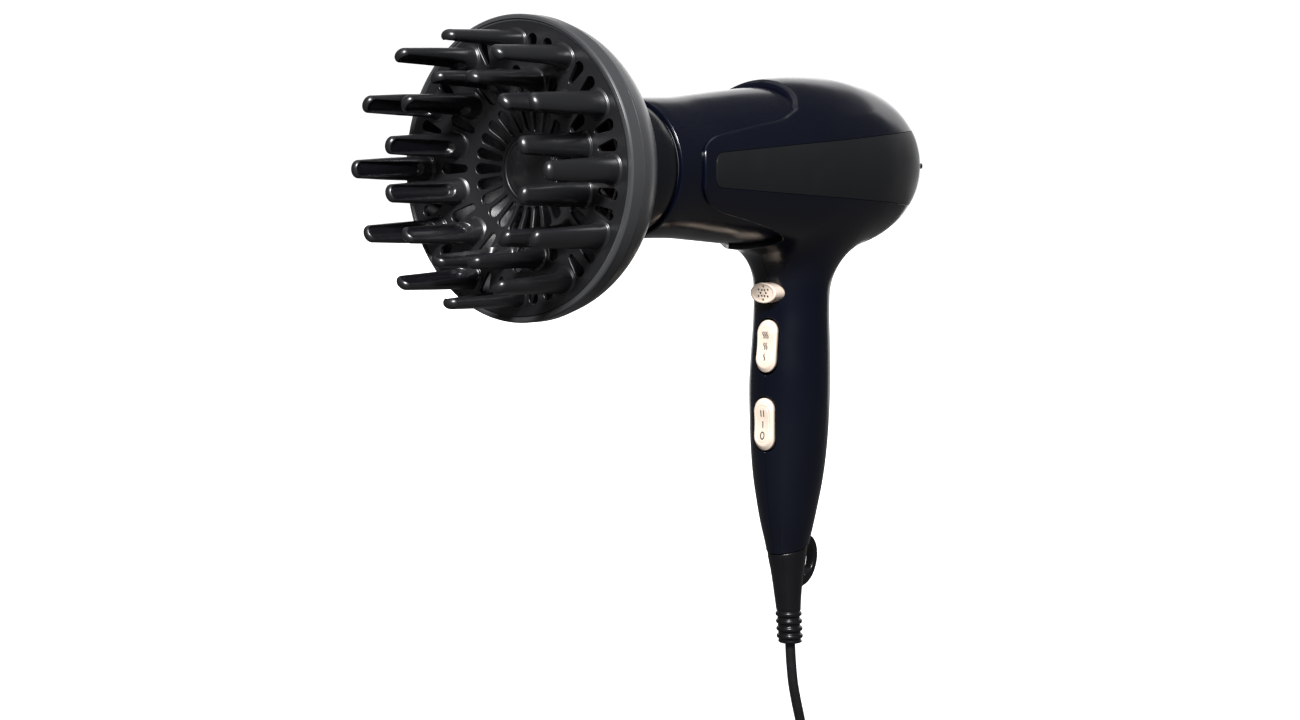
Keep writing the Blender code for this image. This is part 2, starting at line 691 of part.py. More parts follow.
def make_cool_button():
    """The sprung cool-shot button, its spring and its switch."""
    face = handle_front(COOL_Z) - COOL_PROUD
    outline = oval(COOL_HALF_WIDTH, COOL_HALF_HEIGHT, 20)
    crown = oval(COOL_HALF_WIDTH - 0.9, COOL_HALF_HEIGHT - 0.9, 20)
    rings = [[(face, a, b + COOL_Z) for a, b in crown]]
    rings += [[(x, a, b + COOL_Z) for a, b in outline] for x in (face + 0.7, -11.6)]
    button = loft("cool_button", rings, rose_gold(), 30)
    flange = oval(COOL_HALF_WIDTH + 1.2, COOL_HALF_HEIGHT + 1.2, 20)
    join(button, prism("flange", [(a, b + COOL_Z) for a, b in flange], -12.0, -10.8, "X", rose_gold()))
    join(button, rod("plunger", (-11.0, 0, COOL_Z), (-9.2, 0, COOL_Z), 1.1, rose_gold(), 10))
    block("cool_switch", (-6.4, -5, COOL_Z - 5), (-3.8, 5, COOL_Z + 5), heat_plastic())
    turns, radius, start, end, steps = 2.5, 2.6, -10.1, -7.1, 20
    coil = []
    for i in range(steps + 1):
        angle = math.tau * turns * i / steps
        x = start + (end - start) * i / steps
        coil.append((x, radius * math.cos(angle), COOL_Z + radius * math.sin(angle)))
    wire("cool_spring", coil, 0.3, bright_metal(), 0)


def make_controls():
    make_rocker("heat", HEAT_Z, -11.6)
    make_rocker("speed", SPEED_Z, -13.2)
    make_cool_button()
    block("switch_board", (-3.4, -10.5, -42), (-1.8, 10.5, 53), board_green())


# ---------------------------------------------------------------- lead inside and out


def make_inner_wiring():
    """The lead's end in the handle, its clamp, and the wires up to the motor and the heater."""
    rod("lead_end", (-2.5, 0, -71.0), (-2.5, 0, -52.0), 2.4, black_cable(), 12)
    clamp = block("lead_clamp", (-11, 2.9, CLAMP_Z - 3.5), (6, 5.0, CLAMP_Z + 3.5), heat_plastic())
    for x in CLAMP_SCREW_X:
        cut(clamp, rod("drill", (x, 0, CLAMP_Z), (x, 8, CLAMP_Z), 1.4, heat_plastic(), 8))
    for number, x in enumerate(CLAMP_SCREW_X, 1):
        shape = [(-8.5, 0), (-8.5, 0.8), (5.3, 0.8), (5.3, 2.0), (6.4, 2.0), (6.4, 0)]
        turned(f"clamp_screw_{number}", shape, bright_metal(), 8, (x, 0, CLAMP_Z), "Y", closed=False)
    brown = plastic("wire_brown", (0.16, 0.07, 0.03), 0.45)
    blue = plastic("wire_blue", (0.03, 0.09, 0.3), 0.45)
    white = plastic("wire_white", (0.75, 0.75, 0.72), 0.45)
    wire("supply_wire_live", [(-2.5, 1.2, -51.5), (-2.5, 2.0, -48), (-2.6, 3.0, -42.5)], 0.9, brown)
    wire("supply_wire_neutral", [(-2.5, -1.2, -51.5), (-2.5, -2.0, -48), (-2.6, -3.0, -42.5)], 0.9, blue)
    for number, side in enumerate((1, -1), 1):
        places = ((-2.6, 4, 53.5), (-3.5, 5, 60), (-10, 7, 74), (-17, 8, 88), (-15.5, 8, 99), (-10.2, 8, 104))
        wire(f"motor_wire_{number}", [(x, y * side, z) for x, y, z in places], 0.9, white)
    route = [(-2.6, 0, 53.5), (-4.5, 0, 62), (-13, 0, 76), (-24, 0, 88), (-32.6, 0, 94)]
    wire("heater_wire", route, 0.9, brown)


def below_foot(name, lift):
    """Everything below the slanted joint between the handle and its strain relief, moved up by lift."""
    bm = bmesh.new()
    bmesh.ops.create_cube(bm, size=80.0)
    lean = Matrix.Rotation(math.atan2(-5.0, 21.0), 4, "Y")
    place = Matrix.Translation((-1.8, 0, -79.2 + lift)) @ lean @ Matrix.Translation((0, 0, -40))
    bmesh.ops.transform(bm, matrix=place, verts=bm.verts)
    return finish(name, bm, soft_rubber())


LOOP = (
    (3, -80), (10.8, -78.2), (11.4, -75.4), (16.6, -76.2), (20.1, -81), (20.5, -88),
    (17.6, -94.4), (12.0, -99), (3, -101.5),
)
LOOP_HOLE = (
    (10.2, -81.6), (14.4, -80.4), (16.4, -84), (16.2, -89.5), (13.8, -93.4), (9.4, -95.2), (9.2, -88),
)
BOOT = (
    (-70, -1.8, 9.6), (-84, -1.8, 9.6), (-90, -1.7, 8.3), (-98, -1.5, 7.2), (-106, -1.0, 6.4),
    (-110.6, -0.6, 6.0),
)
BOOT_RIBS, RIB_PITCH, RIB_TOP = 4, 3.7, -111.2


def make_strain_relief():
    """The rubber strain relief: a tapered boot with ribs, a plug in the handle, and a hang loop behind it."""
    sections = list(BOOT)
    for i in range(BOOT_RIBS):
        z, centre = RIB_TOP - RIB_PITCH * i, -0.5 + 0.35 * i
        for down, radius in ((0, 5.6), (0.5, 6.4), (2.0, 6.4), (2.5, 5.6)):
            sections.append((z - down, centre, radius))
    sections += [(-126.0, 0.8, 6.3), (-127.0, 0.9, 6.0)]
    rings = [[(cx + a, b, z) for a, b in oval(r, r, 16)] for z, cx, r in sections]
    boot = loft("strain_relief", rings, soft_rubber(), 30)
    combine(boot, below_foot("keep", -0.4), "INTERSECT")
    plug = [(-88, 0), (-88, 5.4), (-71.8, 5.4), (-71.8, 0)]
    join(boot, turned("plug", plug, soft_rubber(), 14, (-2.0, 0, 0), "Z", closed=False))
    loop = prism("loop", LOOP, -2.3, 2.3, "Y", soft_rubber())
    cut(loop, prism("loop_hole", LOOP_HOLE, -4, 4, "Y", soft_rubber()))
    join(boot, loop)


def make_lead():
    """The mains lead: the free cord, its coil and tie, and the plug with its pins."""
    wire("cord", LEAD_ROUTE, CORD_RADIUS, black_cable(), 2)
    wire("cord_tail", TAIL_ROUTE, CORD_RADIUS, black_cable(), 2)
    inner, outer = COIL_TURN_RADII[0] - CORD_RADIUS - 0.1, COIL_TURN_RADII[1] + CORD_RADIUS + 0.1
    low = FLOOR_Z + TIE_THICK + 0.3
    high = low + COIL_LAYERS * 2 * CORD_RADIUS + 0.2
    ring = [(low, inner), (low, outer), (high, outer), (high, inner)]
    turned("cord_coil", ring, black_cable(), SIDES, (*COIL_CENTRE, 0), "Z")
    inner, outer, high = inner - 0.35, outer + 0.35, high + 0.3
    near, far = (inner - TIE_THICK, -3, FLOOR_Z), (outer + TIE_THICK, 3, high + TIE_THICK)
    tie = block("cord_tie", near, far, soft_rubber())
    cut(tie, block("inside", (inner, -9, FLOOR_Z + TIE_THICK), (outer, 9, high), soft_rubber()))
    tie.location = (COIL_CENTRE[0] * MM, COIL_CENTRE[1] * MM, 0)
    tie.rotation_euler = (0, 0, math.radians(TIE_DEGREES))
    make_plug()


def make_plug():
    """A moulded plug with two round pins, lying on its side, with its face towards -X."""
    sections = (
        (PLUG_REAR_X, 4.0, 4.0), (-127, 4.6, 4.6), (-136, 5.4, 5.4), (-140, 9.0, 7.4), (-146, 14.6, 10.4),
        (-153, 17.4, 12.0), (-167, 17.8, 12.0), (PLUG_FACE_X, 16.8, 11.4),
    )
    rings = [[(x, PLUG_Y + a, PLUG_Z + b) for a, b in oval(w, h, 20)] for x, w, h in sections]
    loft("plug_body", rings, black_cable())
    for number, side in enumerate((1, -1), 1):
        y = PLUG_Y + side * PIN_SPACING / 2
        start = PLUG_FACE_X - 0.3
        near, far = (start, y, PLUG_Z), (start - PLUG_PIN_LENGTH, y, PLUG_Z)
        rod(f"plug_pin_{number}", near, far, PLUG_PIN_RADIUS, bright_metal(), 12)


# ---------------------------------------------------------------- diffuser


def plate_face(radius):
    """Place along X of the diffuser plate's front face at a distance from its middle."""
    return smooth(PLATE_FACE, radius)


def finger(name, share, ring_radius, tip_x):
    """One finger standing on the plate, at a share of a turn round it."""
    base = plate_face(ring_radius) + 1.0
    reach = base - tip_x
    sizes = ((0, 6.4), (0.14, 4.9), (0.55, 4.2), (0.93, 3.1), (1.0, 1.6))
    rings = [[(base - reach * t, a, ring_radius + 0.85 * b) for a, b in oval(r, r, 7)] for t, r in sizes]
    return turned_by(loft(name, rings, satin_grey()), share)


def make_diffuser():
    """The finger plate with its rim, the bowl behind it, and the collar that slips onto the outlet ring."""
    radii = (0, 8, 13, 16, 28, 37, 45, 58)
    front = [(plate_face(r), r) for r in radii]
    rim = [(RIM_X, 62.0), (RIM_X, 64.3), (RIM_X + 0.8, RIM_RADIUS), (RIM_X + RIM_DEPTH, RIM_RADIUS)]
    rim += [(RIM_X + RIM_DEPTH, 63.2), (RIM_X + 3.6, 63.0)]
    back = [(plate_face(r) + PLATE_THICK, r) for r in reversed(radii)]
    plate = turned("diffuser_plate", front + rim + back, satin_grey(), 36, closed=False)
    for i in range(INNER_SLOTS):
        outline = [(-1.4, 16.2), (1.4, 16.2), (2.2, 27.8), (-2.2, 27.8)]
        slot = prism("slot", outline, -200, -180, "X", satin_grey())
        cut(plate, turned_by(slot, i / INNER_SLOTS))
    for i in range(FINGERS_PER_RING):
        join(plate, finger("finger", i / FINGERS_PER_RING, OUTER_TIP_RADIUS, OUTER_TIP_X))
        join(plate, finger("finger", (i + 0.5) / FINGERS_PER_RING, INNER_TIP_RADIUS, INNER_TIP_X))
    outside = [
        (-188, 64.8), (-181.5, 63.2), (-174, 59.7), (-167, 53.9), (-160, 46), (-154, 38), (-150, 32.2),
        (-147.6, 29.4), (-147, 27.4), (-136, 27.4),
    ]
    inside = [(-136, 25.6), (-149, 25.6), (-151.6, 31.0), (-155.6, 37), (-161.4, 44.8), (-168.2, 52.5)]
    inside += [(-175, 58.0), (-182, 61.4), (-188, 63.0)]
    turned("diffuser_bowl", outside + inside, satin_grey(), 36)
    collar = [(-146.6, 28.6), (-145, 29.9), (-139, 31.0), (-131, 30.9), (-125, 30.1), (-122.4, 29.3)]
    turned("diffuser_collar", [*collar, (-122.4, COLLAR_BORE), (-146.6, COLLAR_BORE)], satin_grey(), SIDES)


clear_scene()
make_housing()
make_barrel()
make_rear_cover()
make_fan()
make_heater()
make_controls()
make_inner_wiring()
make_strain_relief()
make_lead()
make_diffuser()
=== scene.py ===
"""The looks of a hair dryer with a finger diffuser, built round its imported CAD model.

Lengths inside the mesh functions are in millimetres, in the frame of the CAD model, and become metres
in add_mesh(). The barrel's axis runs along X at height AXIS_Z, the diffuser points towards -X, and the
handle hangs down along -Z.
"""

import itertools
import math

import bpy
import numpy as np
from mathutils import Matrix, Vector


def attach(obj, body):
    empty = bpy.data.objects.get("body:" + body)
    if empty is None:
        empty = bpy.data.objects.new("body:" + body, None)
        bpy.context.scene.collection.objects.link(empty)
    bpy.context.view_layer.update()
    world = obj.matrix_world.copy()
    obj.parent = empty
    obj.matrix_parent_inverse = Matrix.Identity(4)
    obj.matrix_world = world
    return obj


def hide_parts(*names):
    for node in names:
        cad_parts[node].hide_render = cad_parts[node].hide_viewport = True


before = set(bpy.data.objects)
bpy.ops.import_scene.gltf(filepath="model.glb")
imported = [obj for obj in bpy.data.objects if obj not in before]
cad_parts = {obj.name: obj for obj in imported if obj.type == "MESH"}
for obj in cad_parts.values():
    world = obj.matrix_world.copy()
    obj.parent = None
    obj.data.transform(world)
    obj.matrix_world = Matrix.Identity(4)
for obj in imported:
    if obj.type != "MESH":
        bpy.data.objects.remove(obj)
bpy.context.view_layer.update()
MM = 0.001
AXIS_Z = 105.0
FLOOR_Z = -200.0

# ---------------------------------------------------------------- shape tables
# They are as in the CAD model, but the side band's front end lies further forward.

BODY = (
    (-108, 33.2), (-76, 35.4), (-41, 39.0), (-11, 42.5), (4, 43.0), (19, 42.9),
    (34, 41.3), (50, 38.2), (58, 35.2), (65, 31.2),
)
BARREL = ((-122, 31.3), (-96, 31.9), (-76, 33.5), (-49, 36.0), (-36, 37.0), (-14, 38.0))
FRONT_EDGE = (
    (0, -26.5), (28, -29), (45, -38), (55, -60), (60, -82), (67, -101), (78, -107.5), (90, -108),
    (102, -107.5), (115, -103), (125, -92), (131, -73), (141, -44), (150, -34), (168, -42), (180, -49),
)
HANDLE = (
    (-92, -1.8, 10.4, 8.8), (-82, -1.8, 10.8, 9.2), (-70, -2.1, 13.1, 12.4), (-58, -1.8, 15.8, 14.4),
    (-45, -1.4, 18.0, 16.7), (-18, -0.7, 20.1, 18.8), (0, -0.5, 20.0, 19.7), (18, 0.2, 19.2, 19.2),
    (36, 0.6, 18.1, 18.6), (50, 0.7, 18.4, 18.8), (70, 0.7, 19.2, 19.4), (110, 0.7, 19.6, 19.6),
)
BODY_REAR = 65.0
BAND_FRONT, BAND_REAR, BAND_HALF_FRONT, BAND_HALF_REAR, BAND_DROP = -101.0, 60.0, 7.6, 18.6, 0.9
COOL_Z, HEAT_Z, SPEED_Z = 45.0, 19.0, -18.0
PLATE_FACE = (
    (0, -188.4), (8, -187.7), (13, -186.6), (16, -187.0), (28, -190.4), (37, -193.4), (45, -195.2),
    (58, -195.8), (66, -195.9),
)
SCREWS = ((9.0, 33.0, 13.0), (7.0, -55.0, 9.5))  # x, z, and y of the head's seat

CORD_RADIUS = 2.5
LEAD_ROUTE = (
    (0.9, 0, -127.4), (1.3, 0, -133), (2.2, 0, -140.5), (3.6, 0, -148.5), (6.2, 0, -157.5),
    (8.9, 0, -165.5), (10.6, -0.4, -173), (10.6, -1.5, -180), (8.7, -3.8, -186.6),
    (4.9, -8.2, -192.4), (-0.2, -14.2, -196.2), (-5.2, -20.0, -197.4), (-7.6, -22.9, -197.4),
)
TAIL_ROUTE = (
    (-70.3, -52.1, -194.2), (-77, -52.1, -196.2), (-84, -52.1, -197.3), (-92, -52.1, -196.9),
    (-100, -52.1, -194.4), (-107, -52.1, -191.2), (-112.6, -52.1, -188.9), (-117.6, -52.1, -188.2),
)
COIL_CENTRE = (-49.8, -14.3)
COIL_RADII = (37.8, 32.6, 27.4, 22.2)
COIL_LOW, COIL_HIGH = -196.1, -191.1
COIL_START = -40.0  # where the lead joins the coil, in degrees round it, and the turning from there on
COIL_SWEEP, COIL_STEP = 2570.0, 7.5
COIL_SHIFT = 85.0
COIL_INWARD = (275.0, 635.0, 995.0)
COIL_CLIMB = (1280.0, 1345.0)
COIL_OUTWARD = (1550.0, 1910.0, 2270.0)


# ---------------------------------------------------------------- node materials


def material(name, colour, roughness, metallic=0.0, specular=0.5):
    """A Principled material, with its constant values set on the shader's own sockets."""
    made = bpy.data.materials.new(name)
    made.use_nodes = True
    shader = made.node_tree.nodes["Principled BSDF"]
    shader.inputs["Base Color"].default_value = (*colour, 1)
    shader.inputs["Roughness"].default_value = roughness
    shader.inputs["Metallic"].default_value = metallic
    shader.inputs["Specular IOR Level"].default_value = specular
    return made


def noise(made, scale, detail=3.0, stretch=(1, 1, 1)):
    """A noise texture in the object's own coordinates. Scale is in features per metre."""
    nodes, links = made.node_tree.nodes, made.node_tree.links
    place = nodes.new("ShaderNodeTexCoord")
    mapping = nodes.new("ShaderNodeMapping")
    mapping.inputs["Scale"].default_value = stretch
    texture = nodes.new("ShaderNodeTexNoise")
    texture.inputs["Scale"].default_value = scale
    texture.inputs["Detail"].default_value = detail
    links.new(place.outputs["Object"], mapping.inputs["Vector"])
    links.new(mapping.outputs["Vector"], texture.inputs["Vector"])
    return texture.outputs["Fac"]


def vary_roughness(made, low, high, scale, stretch=(1, 1, 1)):
    """Roughness that wanders between two values, as handling and moulding leave it."""
    nodes, links = made.node_tree.nodes, made.node_tree.links
    spread = nodes.new("ShaderNodeMapRange")
    spread.inputs["From Min"].default_value = 0.3
    spread.inputs["From Max"].default_value = 0.7
    spread.inputs["To Min"].default_value = low
    spread.inputs["To Max"].default_value = high
    links.new(noise(made, scale, stretch=stretch), spread.inputs["Value"])
    links.new(spread.outputs["Result"], nodes["Principled BSDF"].inputs["Roughness"])


def vary_colour(made, first, second, scale, stretch=(1, 1, 1)):
    """Colour that wanders between two close shades."""
    nodes, links = made.node_tree.nodes, made.node_tree.links
    ramp = nodes.new("ShaderNodeValToRGB")
    ramp.color_ramp.elements[0].position = 0.35
    ramp.color_ramp.elements[1].position = 0.65
    ramp.color_ramp.elements[0].color = (*first, 1)
    ramp.color_ramp.elements[1].color = (*second, 1)
    links.new(noise(made, scale, stretch=stretch), ramp.inputs["Fac"])
    links.new(ramp.outputs["Color"], nodes["Principled BSDF"].inputs["Base Color"])


def grain(made, scale, height, strength=1.0, stretch=(1, 1, 1), detail=2.0):
    """A fine bump: scale in features per metre, and height in metres."""
    nodes, links = made.node_tree.nodes, made.node_tree.links
    bump = nodes.new("ShaderNodeBump")
    bump.inputs["Strength"].default_value = strength
    bump.inputs["Distance"].default_value = height
    links.new(noise(made, scale, detail, stretch), bump.inputs["Height"])
    links.new(bump.outputs["Normal"], nodes["Principled BSDF"].inputs["Normal"])
    return made


def moulded(name, colour, roughness, wander, shades, bump, specular=0.5, metallic=0.0):
    """A plastic or rubber.

    shades is two colours and a scale, wander low and high roughness and scale, and bump scale, height
    and strength.
    """
    made = material(name, colour, roughness, metallic, specular)
    vary_roughness(made, *wander)
    vary_colour(made, *shades)
    return grain(made, *bump)


def diffuser_grey(name):
    return moulded(name, (0.0080, 0.0084, 0.0096), 0.32, (0.30, 0.34, 70),
                   ((0.0077, 0.0081, 0.0093), (0.0083, 0.0087, 0.0099), 40), (400, 0.00001, 0.05), 0.7)


def finger_grey():
    """The diffuser's plastic, darker in the fingers' hollows as painted shade."""
    made = diffuser_grey("finger_plastic")
    nodes, links = made.node_tree.nodes, made.node_tree.links
    hollow = nodes.new("ShaderNodeAttribute")
    hollow.attribute_name = "hollow"
    mix = nodes.new("ShaderNodeMix")
    mix.data_type = "RGBA"
    base = nodes["Principled BSDF"].inputs["Base Color"]
    links.new(hollow.outputs["Fac"], mix.inputs["Factor"])
    links.new(base.links[0].from_socket, mix.inputs["A"])
    # painted shade: this darker base colour in the hollows stands in for the shade that falls in the scoops
    mix.inputs["B"].default_value = (0.0022, 0.0024, 0.0036, 1)
    links.new(mix.outputs["Result"], base)
    return made


def brushed_metal(name, colour, roughness, scale=900, stretch=(1, 1, 14)):
    made = material(name, colour, roughness, metallic=1.0)
    vary_roughness(made, roughness * 0.8, roughness * 1.3, scale, stretch)
    vary_colour(made, tuple(0.9 * c for c in colour), colour, scale, stretch)
    return grain(made, scale, 0.00001, 0.3, stretch)


def dull(name, colour, roughness, spread=0.15, scale=400):
    shades = tuple(c * (1 - spread) for c in colour), tuple(min(1, c * (1 + spread)) for c in colour), scale
    wander = roughness * 0.85, min(1.0, roughness * 1.15), scale
    return moulded(name, colour, roughness, wander, shades, (4 * scale, 0.00003, 0.3))


GLOSS = moulded("gloss_black_plastic", (0.0014, 0.0022, 0.0064), 0.2, (0.18, 0.22, 60),
                ((0.0013, 0.0020, 0.0060), (0.0016, 0.0024, 0.0069), 25), (180, 0.00002, 0.25))
BAND = moulded("matte_band_plastic", (0.0060, 0.0070, 0.0082), 0.42, (0.39, 0.46, 80),
               ((0.0056, 0.0066, 0.0077), (0.0065, 0.0075, 0.0088), 30), (2600, 0.00002, 0.3), 0.45)
GREY = diffuser_grey("satin_grey_plastic")
# painted light: the bowl and rim are the diffuser's satin plastic in a much lighter copy, standing in for the
# light on their sides
BOWL_PAINTED_LIGHT = moulded("bowl_plastic_painted_lighter", (0.040, 0.0415, 0.0440), 0.3, (0.28, 0.33, 70),
               ((0.0389, 0.0404, 0.0428), (0.0411, 0.0427, 0.0453), 40), (400, 0.00001, 0.05))
FINGER = finger_grey()
COLLAR = moulded("satin_black_plastic", (0.0026, 0.0031, 0.0048), 0.22, (0.20, 0.25, 70),
                 ((0.0024, 0.0029, 0.0045), (0.0028, 0.0033, 0.0051), 40), (400, 0.00001, 0.1))
ROSE = moulded("champagne_plastic", (0.90, 0.745, 0.62), 0.24, (0.23, 0.30, 300),
               ((0.89, 0.735, 0.61), (0.91, 0.755, 0.63), 200), (4000, 0.00001, 0.15), 0.6, 0.15)
RUBBER = moulded("soft_rubber", (0.0045, 0.0045, 0.0055), 0.24, (0.23, 0.30, 150),
                 ((0.0040, 0.0040, 0.0050), (0.0050, 0.0050, 0.0060), 60), (3500, 0.00003, 0.3))
CABLE = moulded("black_cable", (0.0085, 0.0085, 0.0095), 0.4, (0.34, 0.46, 200),
                ((0.0075, 0.0075, 0.0085), (0.0100, 0.0100, 0.0110), 90), (2500, 0.00003, 0.3), 0.45)
PRINT = material("printed_mark", (0.030, 0.018, 0.014), 0.5)
vary_colour(PRINT, (0.027, 0.016, 0.013), (0.033, 0.020, 0.015), 900)
vary_roughness(PRINT, 0.42, 0.58, 800)
# painted shade: a dark colour for the sheet behind the cool button's vent holes, standing in for the shade
# inside them
VENT_SHADE = material("vent_painted_shade", (0.012, 0.008, 0.006), 0.8, specular=0.1)
vary_colour(VENT_SHADE, (0.010, 0.007, 0.005), (0.015, 0.010, 0.008), 900)
STEEL = brushed_metal("bright_steel", (0.56, 0.56, 0.57), 0.3)
NICKEL = brushed_metal("nickel", (0.66, 0.63, 0.58), 0.22)
HEAT_PLASTIC = dull("heat_resistant_plastic", (0.012, 0.012, 0.013), 0.5)


# ---------------------------------------------------------------- camera, floor and lights

LENS, SENSOR = 69.23, 36.0
CAMERA_PLACE, CAMERA_TARGET = (-0.97271, -0.71750, 0.11414), (-0.10663, 0.0, 0.01851)
WORLD_STRENGTH, FLOOR_STRENGTH = 1.12, 1.05
ROOM_SIZE, ROOM_GLOW = 1500.0, 0.075
ROOM_GAP = (-5.0, 70.0)  # where the room's wall is open behind the object, in degrees from +X
ROOM_GAP_TOP = 1000.0
WHITE = (1, 1, 1, 1)


def point_at(made, target):
    made.rotation_euler = (Vector(target) - made.location).to_track_quat("-Z", "Y").to_euler()


def add_camera():
    data = bpy.data.cameras.new("camera")
    data.lens = LENS
    data.sensor_width = SENSOR
    data.clip_start = 0.05
    made = bpy.data.objects.new("camera", data)
    bpy.context.scene.collection.objects.link(made)
    made.location = CAMERA_PLACE
    point_at(made, CAMERA_TARGET)
    bpy.context.scene.camera = made


def add_light(name, place, target, size, power):
    data = bpy.data.lights.new(name, "AREA")
    data.shape = "RECTANGLE"
    data.size, data.size_y = size
    data.energy = power
    made = bpy.data.objects.new(name, data)
    bpy.context.scene.collection.objects.link(made)
    made.location = place
    point_at(made, target)


def add_lights():
    """A key light high in front, a dim card beside it, one overhead, and one behind for the outlines."""
    add_light("key", (-0.99, -0.66, 0.86), (-0.12, 0, 0.07), (0.30, 0.30), 44.0)
    add_light("side", (-0.62, -0.88, 0.74), (-0.2, 0, 0.1), (0.5, 0.5), 1.8)
    add_light("overhead", (0.05, 0.35, 1.25), (-0.05, 0, 0.1), (1.3, 0.9), 1.7)
    add_light("behind", (0.98, 0.72, 0.2), (-0.05, 0, 0.0), (0.8, 0.6), 1.2)


def glow(made, strength):
    shader = made.node_tree.nodes["Principled BSDF"]
    shader.inputs["Emission Color"].default_value = WHITE
    shader.inputs["Emission Strength"].default_value = strength
    made.cycles.emission_sampling = "NONE"
    return made


def add_stage():
    """A white floor, and a dim room that the camera doesn't see, open behind for the rim light."""
    pale = material("pale_floor", (0.93, 0.93, 0.93), 0.9, specular=0.1)
    vary_colour(pale, (0.925, 0.925, 0.925), (0.935, 0.935, 0.935), 8)
    floor = add_mesh("floor", *disc(9000.0, FLOOR_Z), glow(pale, FLOOR_STRENGTH))
    floor.visible_diffuse = floor.visible_glossy = floor.visible_shadow = False
    cloth = glow(dull("studio_cloth", (0.006, 0.006, 0.007), 0.9), ROOM_GLOW)
    for name, shape in (
        ("room_wall", arc_wall(ROOM_SIZE, ROOM_GAP[1], ROOM_GAP[0] + 360.0, FLOOR_Z - 1, ROOM_SIZE, 64)),
        ("room_lintel", arc_wall(ROOM_SIZE, *ROOM_GAP, ROOM_GAP_TOP, ROOM_SIZE)),
        ("room_floor", disc(ROOM_SIZE, FLOOR_Z - 1)),
        ("room_ceiling", disc(ROOM_SIZE, ROOM_SIZE)),
    ):
        side = add_mesh(name, *shape, cloth)
        side.visible_camera = False


def add_world():
    world = bpy.data.worlds.new("studio")
    bpy.context.scene.world = world
    world.use_nodes = True
    back = world.node_tree.nodes["Background"]
    back.inputs["Color"].default_value = WHITE
    back.inputs["Strength"].default_value = WORLD_STRENGTH
    world.cycles.sampling_method = "NONE"
    bpy.context.scene.view_settings.view_transform = "Standard"


# ---------------------------------------------------------------- mesh building


def add_mesh(name, points, faces, skin, normals=None):
    """A smooth mesh object from points in millimetres."""
    mesh = bpy.data.meshes.new(name)
    mesh.from_pydata((np.asarray(points, float) * MM).tolist(), [], [list(map(int, f)) for f in faces])
    mesh.update()
    mesh.polygons.foreach_set("use_smooth", [True] * len(mesh.polygons))
    if normals is not None:
        mesh.normals_split_custom_set_from_vertices(np.asarray(normals, float).tolist())
    made = bpy.data.objects.new(name, mesh)
    bpy.context.scene.collection.objects.link(made)
    mesh.materials.append(skin)
    return made


def circle(count):
    """Angles once round."""
    return [math.tau * i / count for i in range(count)]


def disc(radius, z, count=96):
    ring = [(radius * math.cos(a), radius * math.sin(a), z) for a in circle(count)]
    return [(0, 0, z), *ring], [(0, 1 + i, 1 + (i + 1) % count) for i in range(count)]


def arc_wall(radius, start, end, low, high, count=32):
    """An upright wall round the object from one azimuth to another, in degrees from +X."""
    points = []
    for i in range(count + 1):
        a = math.radians(start + (end - start) * i / count)
        points += [(radius * math.cos(a), radius * math.sin(a), z) for z in (low, high)]
    return points, [(2 * i, 2 * i + 1, 2 * i + 3, 2 * i + 2) for i in range(count)]


CURVE_SAMPLES = 1601


class Curve:
    """A smooth curve through (place, value) pairs, with its slope, for arrays of places."""

    def __init__(self, keys, column=1, blur=0.0):
        xs = np.array([k[0] for k in keys], float)
        ys = np.array([k[column] for k in keys], float)
        self.x = np.linspace(xs[0], xs[-1], CURVE_SAMPLES)
        self.y = self.monotone(xs, ys)
        if blur:
            step = self.x[1] - self.x[0]
            reach = int(3 * blur / step)
            weights = np.exp(-0.5 * (np.arange(-reach, reach + 1) * step / blur) ** 2)
            padded = np.concatenate((
                2 * self.y[0] - self.y[reach:0:-1], self.y, 2 * self.y[-1] - self.y[-2:-reach - 2:-1],
            ))
            self.y = np.convolve(padded, weights / weights.sum(), "valid")
        self.slopes = np.gradient(self.y, self.x)

    def monotone(self, xs, ys):
        """Cubic pieces whose slopes never overshoot the data."""
        steps = np.diff(xs)
        rise = np.diff(ys) / steps
        slopes = np.zeros(len(xs))
        slopes[0], slopes[-1] = rise[0], rise[-1]
        same = rise[:-1] * rise[1:] > 0
        w1 = 2 * steps[1:] + steps[:-1]
        w2 = steps[1:] + 2 * steps[:-1]
        with np.errstate(divide="ignore", invalid="ignore"):
            middle = (w1 + w2) / (w1 / rise[:-1] + w2 / rise[1:])
        slopes[1:-1] = np.where(same, middle, 0.0)
        i = np.clip(np.searchsorted(xs, self.x) - 1, 0, len(xs) - 2)
        t = (self.x - xs[i]) / steps[i]
        h = steps[i]
        return (
            ys[i] * (1 + 2 * t) * (1 - t) ** 2 + h * slopes[i] * t * (1 - t) ** 2
            + ys[i + 1] * t * t * (3 - 2 * t) + h * slopes[i + 1] * t * t * (t - 1)
        )

    def __call__(self, x):
        return np.interp(x, self.x, self.y)

    def slope(self, x):
        return np.interp(x, self.x, self.slopes)


NUDGE = 0.02  # the step that slopes are taken over


def unit(v):
    return v / np.maximum(np.linalg.norm(v, axis=-1, keepdims=True), 1e-12)


def gradient(field, p):
    """The slope of a field at points, by central differences."""
    out = np.empty_like(p)
    for axis in range(3):
        step = np.zeros(3)
        step[axis] = NUDGE
        out[:, axis] = (field(p + step) - field(p - step)) / (2 * NUDGE)
    return out


def settle(field, p, rounds=5):
    """Moves points onto the surface where the field is zero."""
    for _ in range(rounds):
        g = gradient(field, p)
        p = p - g * (field(p) / np.maximum((g * g).sum(1), 1e-6))[:, None]
    return p


def settle_on_line(field, edge, p, rounds=6):
    """Moves points onto the line where both fields are zero."""
    for _ in range(rounds):
        n = unit(gradient(field, p))
        g = gradient(edge, p)
        g = g - n * (g * n).sum(1)[:, None]
        size = np.maximum((g * g).sum(1), 1e-4)
        p = p - g * (edge(p) / size)[:, None]
        p = settle(field, p, 1)
    return p


